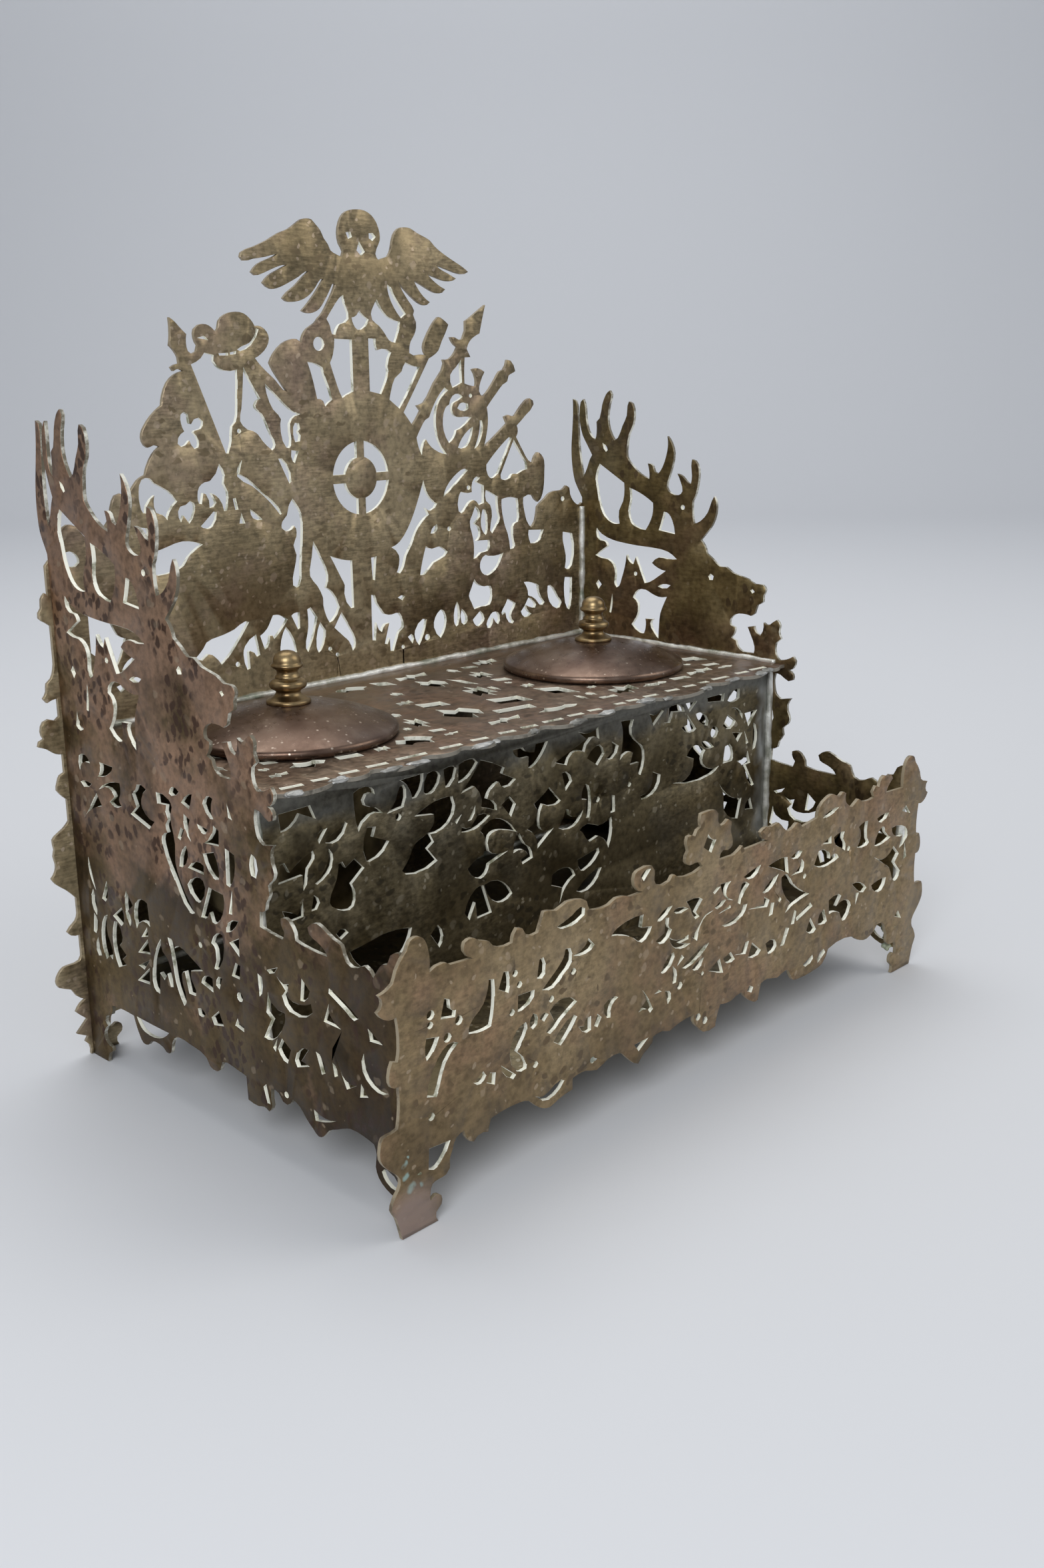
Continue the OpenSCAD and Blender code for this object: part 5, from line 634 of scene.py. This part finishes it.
def solder_bead(name, node, start, end, inward, radius):
    """A lumpy run of solder from start to end, its middle moved inward out of the corner."""
    clear_selection()
    start = Vector(start)
    end = Vector(end)
    span = end - start
    along = span.normalized()
    middle = (start + end) / 2 + Vector(inward) * radius * BEAD_INWARD
    bpy.ops.mesh.primitive_cylinder_add(
        vertices=BEAD_SIDES, radius=radius, depth=span.length, location=middle
    )
    bead = bpy.context.object
    bead.name = name
    bead.rotation_euler = span.to_track_quat("Z", "Y").to_euler()
    bpy.ops.object.transform_apply(location=True, rotation=True, scale=True)
    # Cut the edges along the bead in two passes; the second one also cuts the rings of the first
    bpy.ops.object.mode_set(mode="EDIT")
    bpy.ops.mesh.select_mode(type="EDGE")
    bpy.ops.mesh.select_all(action="DESELECT")
    bpy.ops.object.mode_set(mode="OBJECT")
    for edge in bead.data.edges:
        a, b = (bead.data.vertices[i].co for i in edge.vertices)
        edge.select = abs((b - a).normalized().dot(along)) > 0.9
    bpy.ops.object.mode_set(mode="EDIT")
    cuts = max(1, round(math.sqrt(span.length / BEAD_STEP)) - 1)
    for _ in range(2):
        bpy.ops.mesh.subdivide(number_cuts=cuts)
    bpy.ops.mesh.select_mode(type="VERT")
    bpy.ops.object.mode_set(mode="OBJECT")
    for vertex in bead.data.vertices:
        on_axis = middle + along * (vertex.co - middle).dot(along)
        away = vertex.co - on_axis
        lumps = sum(noise.noise(vertex.co * scale) * rise for scale, rise in BEAD_LUMPS)
        vertex.co = on_axis + away * (BEAD_FULLNESS + lumps)
    bead.data.materials.append(solder)
    bpy.ops.object.shade_smooth()
    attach(bead, "root")
    if node:
        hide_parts(node)


low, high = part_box("floor_plate")
left_x, gallery_y = low.x, low.y
right_x, back_y, floor_z = high
shelf_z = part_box("shelf_plate")[1].z
rear_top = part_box("seam_rear_left")[1].z
front_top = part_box("seam_front_left")[1].z
box_top = shelf_z - BOX_BEAD_DROP
SIDES = (("left", left_x, 1), ("right", right_x, -1))
for side, x, facing in SIDES:
    solder_bead(
        "rear_solder_" + side, "seam_rear_" + side,
        (x, back_y, floor_z), (x, back_y, rear_top), (facing, -1, 0), BEAD,
    )
    solder_bead(
        "box_solder_" + side, "seam_box_" + side,
        (x, box_y, floor_z), (x, box_y, box_top), (facing, -1, 0), BEAD,
    )
    solder_bead(
        "front_solder_" + side, "seam_front_" + side,
        (x, gallery_y, floor_z), (x, gallery_y, front_top), (facing, 1, 0), BEAD,
    )
solder_bead(
    "shelf_solder", "seam_shelf_back",
    (left_x, back_y, shelf_z), (right_x, back_y, shelf_z), (0, -1, 1), BEAD,
)
for side, x, facing in SIDES:
    solder_bead(
        "shelf_solder_" + side, None,
        (x, box_y - LIP_OVERHANG, shelf_z), (x, back_y, shelf_z), (facing, 0, 1), SIDE_BEAD,
    )
solder_bead(
    "floor_solder_back", "seam_floor_back",
    (left_x, back_y, floor_z), (right_x, back_y, floor_z), (0, -1, 1), BEAD,
)
solder_bead(
    "floor_solder_front", "seam_floor_front",
    (left_x, gallery_y, floor_z), (right_x, gallery_y, floor_z), (0, 1, 1), BEAD,
)

# Drops of solder spilt along the shelf's front lip: how far to each side its edge is looked for,
# and the least and greatest half sizes of a drop
LIP_SEED = 11
LIP_DROPS = 15
LIP_REACH = 2.5 * MM
DROP_LONG = (1.6, 4.2)
DROP_DEEP = (0.8, 1.4)
DROP_TALL = (0.6, 1.1)
DROP_SINK = 0.15 * MM
# Height and pattern scale of the dents and ripples in a drop, and their step from drop to drop
DROP_DENTS = (0.34, 1.3, 7.1)
DROP_RIPPLES = (0.12, 4.5, 3.7)


def dented(place, drop, pattern):
    """About 1, a little more or less from place to place on a drop."""
    rise, scale, step = pattern
    return 1 + rise * noise.noise(place * scale + Vector((drop * step, 0, 0)))


lip_random = random.Random(LIP_SEED)
for drop in range(LIP_DROPS):
    share = (drop + lip_random.uniform(0.15, 0.85)) / LIP_DROPS
    x = left_x + (right_x - left_x) * share
    lip = min(v.co.y for v in shelf.data.vertices if abs(v.co.x - x) < LIP_REACH)
    long = lip_random.uniform(*DROP_LONG) * MM
    deep = lip_random.uniform(*DROP_DEEP) * MM
    tall = lip_random.uniform(*DROP_TALL) * MM
    centre = Vector((x, lip + deep * 0.5, shelf_z - DROP_SINK))
    clear_selection()
    bpy.ops.mesh.primitive_ico_sphere_add(subdivisions=4, radius=1)
    blob = bpy.context.object
    blob.name = f"lip_solder_{drop + 1}"
    for vertex in blob.data.vertices:
        dent = dented(vertex.co, drop, DROP_DENTS)
        ripple = dented(vertex.co, drop, DROP_RIPPLES)
        vertex.co = centre + vertex.co * dent * ripple * Vector((long, deep, tall))
    blob.data.materials.append(lip_solder)
    bpy.ops.object.shade_smooth()
    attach(blob, "root")

# ---- Verdigris at the front feet ----
# Crusty lumps of flux and green corrosion, four in a cluster, sit inside the front corners just
# above the feet.


def crust_finish():
    """Matt, grainy crust from dark olive to pale green."""
    finish, nodes, links, shader, where = new_finish("verdigris_crust")
    patch = noise_at(nodes, links, where, 380, 4, 0.65)
    tones = ((0.10, 0.10, 0.055, 1), (0.30, 0.31, 0.2, 1), (0.42, 0.5, 0.4, 1))
    shade = ramp(nodes, links, patch, [(0.34, tones[0]), (0.5, tones[1]), (0.66, tones[2])])
    links.new(shade, shader.inputs["Base Color"])
    shader.inputs["Roughness"].default_value = 0.8
    grain = noise_at(nodes, links, where, 1900, 3, 0.65)
    links.new(relief(nodes, links, grain, 0.8, 0.3 * MM), shader.inputs["Normal"])
    return finish


crust = crust_finish()
gallery_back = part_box("front_gallery")[1].y
# Offset out of the corner along x and y, height and radius of each lump, in mm
CRUST_LUMPS = (
    (1.6, 1.4, 12.0, 2.6),
    (2.6, 1.2, 15.5, 2.9),
    (1.4, 2.2, 19.0, 2.4),
    (3.4, 0.9, 9.2, 1.9),
)
CRUST_FULLNESS = 0.72
# Pattern scale and height of the large and the small bumps on a lump
CRUST_BUMPS = ((420, 0.4), (1300, 0.2))
for side, x, facing in SIDES:
    for number, (out_x, out_y, height, radius) in enumerate(CRUST_LUMPS):
        clear_selection()
        place = Vector((x + facing * out_x * MM, gallery_back + out_y * MM, height * MM))
        bpy.ops.mesh.primitive_ico_sphere_add(subdivisions=4, radius=radius * MM, location=place)
        lump = bpy.context.object
        lump.name = f"verdigris_{side}_{number}"
        bpy.ops.object.transform_apply(location=True, rotation=False, scale=False)
        for vertex in lump.data.vertices:
            away = vertex.co - place
            bumps = sum(noise.noise(vertex.co * scale) * rise for scale, rise in CRUST_BUMPS)
            vertex.co = place + away * (CRUST_FULLNESS + bumps)
        lump.data.materials.append(crust)
        bpy.ops.object.shade_smooth()
        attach(lump, "root")


# ---- Wells: brass cups and glass pots ----
# A drawn cup hangs in each opening of the shelf. The pressed glass pot in it has a thick base,
# a rounded lip and a faint bluish tint, and lifts out. Sizes of turned pieces are in mm.
TURNED_WELD = 0.004 * MM
TURNED_STEPS = 96
CUP_R = 26.2
CUP_T = 0.8
CUP_CORNER_R = 2
CUP_INNER_CORNER_R = 1.4
CUP_LIP_R = 1.0
FLANGE_EDGE_R = 0.4
POT_FOOT_RIM = 5
POT_HOLLOW = 0.6
POT_CORNER_R = 2.4
POT_LIP_R = 2
POT_WALL = 4
POT_INNER_CORNER_R = 5


def turned(name, centre, profile, finish, steps, crease):
    """Turns a profile of (radius, height) points in mm about an upright axis through centre.

    steps: facets round the axis. crease: the angle in degrees up to which it is smooth.
    """
    clear_selection()
    bpy.ops.mesh.primitive_plane_add(size=1, location=(0, 0, 0))
    piece = bpy.context.object
    piece.name = name
    bpy.ops.object.mode_set(mode="EDIT")
    bpy.ops.mesh.select_all(action="SELECT")
    bpy.ops.mesh.merge(type="CENTER")
    start = Vector(centre) + Vector((profile[0][0], 0, profile[0][1])) * MM
    bpy.ops.transform.translate(value=start)
    for before, after in zip(profile, profile[1:]):
        step = Vector((after[0] - before[0], 0, after[1] - before[1])) * MM
        bpy.ops.mesh.extrude_region_move(TRANSFORM_OT_translate={"value": step})
    bpy.ops.mesh.select_all(action="SELECT")
    bpy.ops.mesh.spin(steps=steps, angle=math.tau, center=centre, axis=(0, 0, 1))
    bpy.ops.mesh.select_all(action="SELECT")
    bpy.ops.mesh.remove_doubles(threshold=TURNED_WELD)
    bpy.ops.mesh.normals_make_consistent(inside=False)
    bpy.ops.object.mode_set(mode="OBJECT")
    piece.data.materials.clear()
    piece.data.materials.append(finish)
    bpy.ops.object.shade_smooth_by_angle(angle=math.radians(crease))
    return piece


def arc(middle, radius, first, last, count):
    """Points of (radius, height) on an arc; angles in degrees, clockwise from straight up."""
    points = []
    for i in range(count + 1):
        angle = math.radians(first + (last - first) * i / count)
        out, up = radius * math.sin(angle), radius * math.cos(angle)
        points.append((middle[0] + out, middle[1] + up))
    return points


def plain_brass(name, dark, bright, rough_low, rough_high):
    """Turned brass, cloudy between two colours and two roughnesses, with fine lathe rings."""
    finish, nodes, links, shader, where = new_finish(name)
    cloud = noise_at(nodes, links, where, 150, 5, 0.6)
    shade = ramp(nodes, links, cloud, [(0.34, dark), (0.62, bright)])
    links.new(shade, shader.inputs["Base Color"])
    shader.inputs["Metallic"].default_value = 0.95
    gloss = ramp(nodes, links, cloud, [(0.35, grey(rough_low)), (0.65, grey(rough_high))])
    links.new(gloss, shader.inputs["Roughness"])
    rings = stretched(nodes, links, where, (60, 60, 2600))
    lathe = noise_at(nodes, links, rings, 1.0, 2, 0.6)
    links.new(relief(nodes, links, lathe, 0.22, 0.05 * MM), shader.inputs["Normal"])
    return finish


def bluish_glass():
    """Clear glass with a faint blue tint and gentle waves."""
    finish, nodes, links, shader, where = new_finish("pot_glass")
    shader.inputs["Base Color"].default_value = (0.80, 0.90, 0.94, 1)
    shader.inputs["Roughness"].default_value = 0.06
    shader.inputs["IOR"].default_value = 1.5
    shader.inputs["Transmission Weight"].default_value = 0.92
    waves = noise_at(nodes, links, where, 90, 2, 0.5)
    links.new(relief(nodes, links, waves, 0.2, 0.4 * MM), shader.inputs["Normal"])
    return finish


cup_finish = plain_brass("cup_brass", (0.16, 0.12, 0.06, 1), (0.32, 0.25, 0.14, 1), 0.3, 0.45)
pot_glass = bluish_glass()

for side in ("left", "right"):
    low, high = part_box("well_cup_" + side)
    centre = ((low[0] + high[0]) / 2, (low[1] + high[1]) / 2, shelf_z)
    bottom = (low[2] - shelf_z) / MM
    flange = (high[0] - low[0]) / 2 / MM
    inner_r = CUP_R - CUP_T - CUP_INNER_CORNER_R
    inner_z = bottom + CUP_T + CUP_INNER_CORNER_R
    cup_profile = (
        [(0, bottom)]
        + arc((CUP_R - CUP_CORNER_R, bottom + CUP_CORNER_R), CUP_CORNER_R, 180, 90, 6)
        + [(CUP_R, 0), (flange - FLANGE_EDGE_R / 2, 0)]
        + arc((flange - FLANGE_EDGE_R, FLANGE_EDGE_R), FLANGE_EDGE_R, 180, 0, 8)
        + arc((CUP_R - CUP_T + CUP_LIP_R, CUP_T - CUP_LIP_R), CUP_LIP_R, 0, -90, 6)
        + arc((inner_r, inner_z), CUP_INNER_CORNER_R, 90, 180, 6)
        + [(0, bottom + CUP_T)]
    )
    cup = turned("well_cup_body_" + side, centre, cup_profile, cup_finish, TURNED_STEPS, 40)
    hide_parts("well_cup_" + side)
    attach(cup, "root")

    low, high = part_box("glass_pot_" + side)
    base = (low[2] - shelf_z) / MM
    top = (high[2] - shelf_z) / MM
    wide = (high[0] - low[0]) / 2 / MM
    foot = wide - POT_FOOT_RIM
    inner = wide - POT_WALL
    pot_profile = (
        [(0, base + POT_HOLLOW), (foot - 1, base + POT_HOLLOW), (foot, base)]
        + arc((wide - POT_CORNER_R, base + POT_CORNER_R), POT_CORNER_R, 180, 90, 6)
        + arc((wide - POT_LIP_R, top - POT_LIP_R), POT_LIP_R, 90, -90, 14)
        + [(inner, top - 3 * POT_LIP_R)]
        + arc(
            (inner - POT_INNER_CORNER_R, base + POT_WALL + POT_INNER_CORNER_R),
            POT_INNER_CORNER_R, 90, 180, 8,
        )
        + [(0, base + POT_WALL)]
    )
    pot = turned("ink_pot_" + side, centre, pot_profile, pot_glass, TURNED_STEPS, 50)
    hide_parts("glass_pot_" + side)
    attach(pot, "pot_" + side)

# ---- Lids ----
# A pressed copper-brown dome with a rolled rim, a collar soldered under it, and a turned brass
# knob whose stud goes through the crown into a nut. The lids lift off the cups.
SPECK = (0.55, 0.46, 0.38, 1)
LID_RISE = 9.6
RIM_R = 1.5
RIM_CURL_END = 305
LID_T = 1.0
SEAT_R = 6.45
SEAT_SINK = 0.15
STUD_HOLE_R = 1.6
DOME_STEPS = 128


def lid_copper():
    """Copper-brown metal with soft dents, dust and tiny dried drops."""
    finish, nodes, links, shader, where = new_finish("lid_copper")
    tones = ((0.105, 0.063, 0.045, 1), (0.175, 0.118, 0.088, 1), (0.28, 0.215, 0.17, 1))
    cloud = noise_at(nodes, links, where, 55, 6, 0.6)
    shade = ramp(nodes, links, cloud, [(0.34, tones[0]), (0.52, tones[1]), (0.7, tones[2])])
    specks = add_node(nodes, "TexVoronoi", feature="F1")
    specks.inputs["Scale"].default_value = 520
    links.new(where, specks.inputs["Vector"])
    speck = ramp(nodes, links, specks.outputs["Distance"], [(0.14, grey(1)), (0.22, grey(0))])
    sparse = noise_at(nodes, links, where, 210, 3, 0.5)
    sparse = ramp(nodes, links, sparse, [(0.47, grey(0)), (0.58, grey(0.9))])
    colour = blend_colour(nodes, links, times(nodes, links, speck, sparse), shade, SPECK)
    links.new(colour, shader.inputs["Base Color"])
    shader.inputs["Metallic"].default_value = 0.9
    fine = noise_at(nodes, links, where, 420, 4, 0.6)
    gloss = ramp(nodes, links, fine, [(0.32, grey(0.25)), (0.68, grey(0.4))])
    links.new(gloss, shader.inputs["Roughness"])
    normal = relief(nodes, links, noise_at(nodes, links, where, 38, 2, 0.5), 0.15, 1.5 * MM)
    normal = relief(nodes, links, fine, 0.2, 0.08 * MM, normal)
    links.new(normal, shader.inputs["Normal"])
    return finish


lid_finish = lid_copper()
knob_finish = plain_brass(
    "knob_brass", (0.17, 0.115, 0.055, 1), (0.4, 0.295, 0.155, 1), 0.28, 0.42
)

# The dome is part of a ball that meets the rolled rim: its radius and the height of its middle
low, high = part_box("lid_dome_left")
rim_reach = (high[0] - low[0]) / 2 / MM - RIM_R
ball_r = (rim_reach**2 + (LID_RISE - RIM_R) ** 2 - RIM_R**2) / (2 * (LID_RISE - 2 * RIM_R))
ball_z = LID_RISE - ball_r
edge_angle = math.degrees(math.atan2(rim_reach, RIM_R - ball_z))
seat_z = ball_z + math.sqrt(ball_r**2 - (SEAT_R - SEAT_SINK) ** 2)
seat_angle = math.degrees(math.asin(SEAT_R / ball_r))
hole_angle = math.degrees(math.asin(STUD_HOLE_R / (ball_r - LID_T)))
dome_profile = (
    [(STUD_HOLE_R, seat_z), (SEAT_R, seat_z)]
    + arc((0, ball_z), ball_r, seat_angle, edge_angle, 18)
    + arc((rim_reach, RIM_R), RIM_R, edge_angle, RIM_CURL_END, 20)[1:]
    + arc((0, ball_z), ball_r - LID_T, edge_angle - 1, hole_angle, 18)
    + [(STUD_HOLE_R, seat_z)]
)
# From the foot of the stud up over the base, the rings, the neck and the tip
knob_profile = [
    (0, -5), (1.5, -5), (1.5, 0), (6.1, 0), (6.3, 0.2), (6.3, 0.75), (6.1, 1.05), (5.4, 1.35),
    (4.7, 1.75), (4.0, 2.25), (3.6, 2.75), (3.45, 3.2), (3.6, 3.6), (4.1, 3.95), (4.8, 4.3),
    (5.2, 4.75), (5.32, 5.35), (5.2, 5.95), (4.8, 6.45), (4.2, 6.75), (3.7, 6.95), (3.5, 7.15),
    (3.6, 7.5), (3.5, 7.8), (3.25, 8.05), (3.05, 8.4), (3.0, 8.9), (3.1, 9.4), (3.55, 9.8),
    (4.2, 10.2), (4.52, 10.55), (4.58, 10.85), (4.45, 11.1), (4.1, 11.35), (3.98, 11.65),
    (3.95, 12.2), (3.8, 12.8), (3.5, 13.4), (2.95, 14.0), (2.2, 14.5), (1.3, 14.8), (0.6, 14.88),
    (0, 14.9),
]
for side in ("left", "right"):
    low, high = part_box("lid_dome_" + side)
    centre = ((low[0] + high[0]) / 2, (low[1] + high[1]) / 2, low[2])
    dome = turned("lid_crown_" + side, centre, dome_profile, lid_finish, DOME_STEPS, 40)
    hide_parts("lid_dome_" + side)
    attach(dome, "lid_" + side)

    knob_centre = (centre[0], centre[1], low[2] + seat_z * MM)
    knob = turned(
        "turned_knob_" + side, knob_centre, knob_profile, knob_finish, TURNED_STEPS, 55
    )
    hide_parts("lid_knob_" + side)
    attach(knob, "lid_" + side)

    for node in ("lid_collar_" + side, "knob_nut_" + side):
        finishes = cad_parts[node].data.materials
        finishes.clear()
        finishes.append(cup_finish)
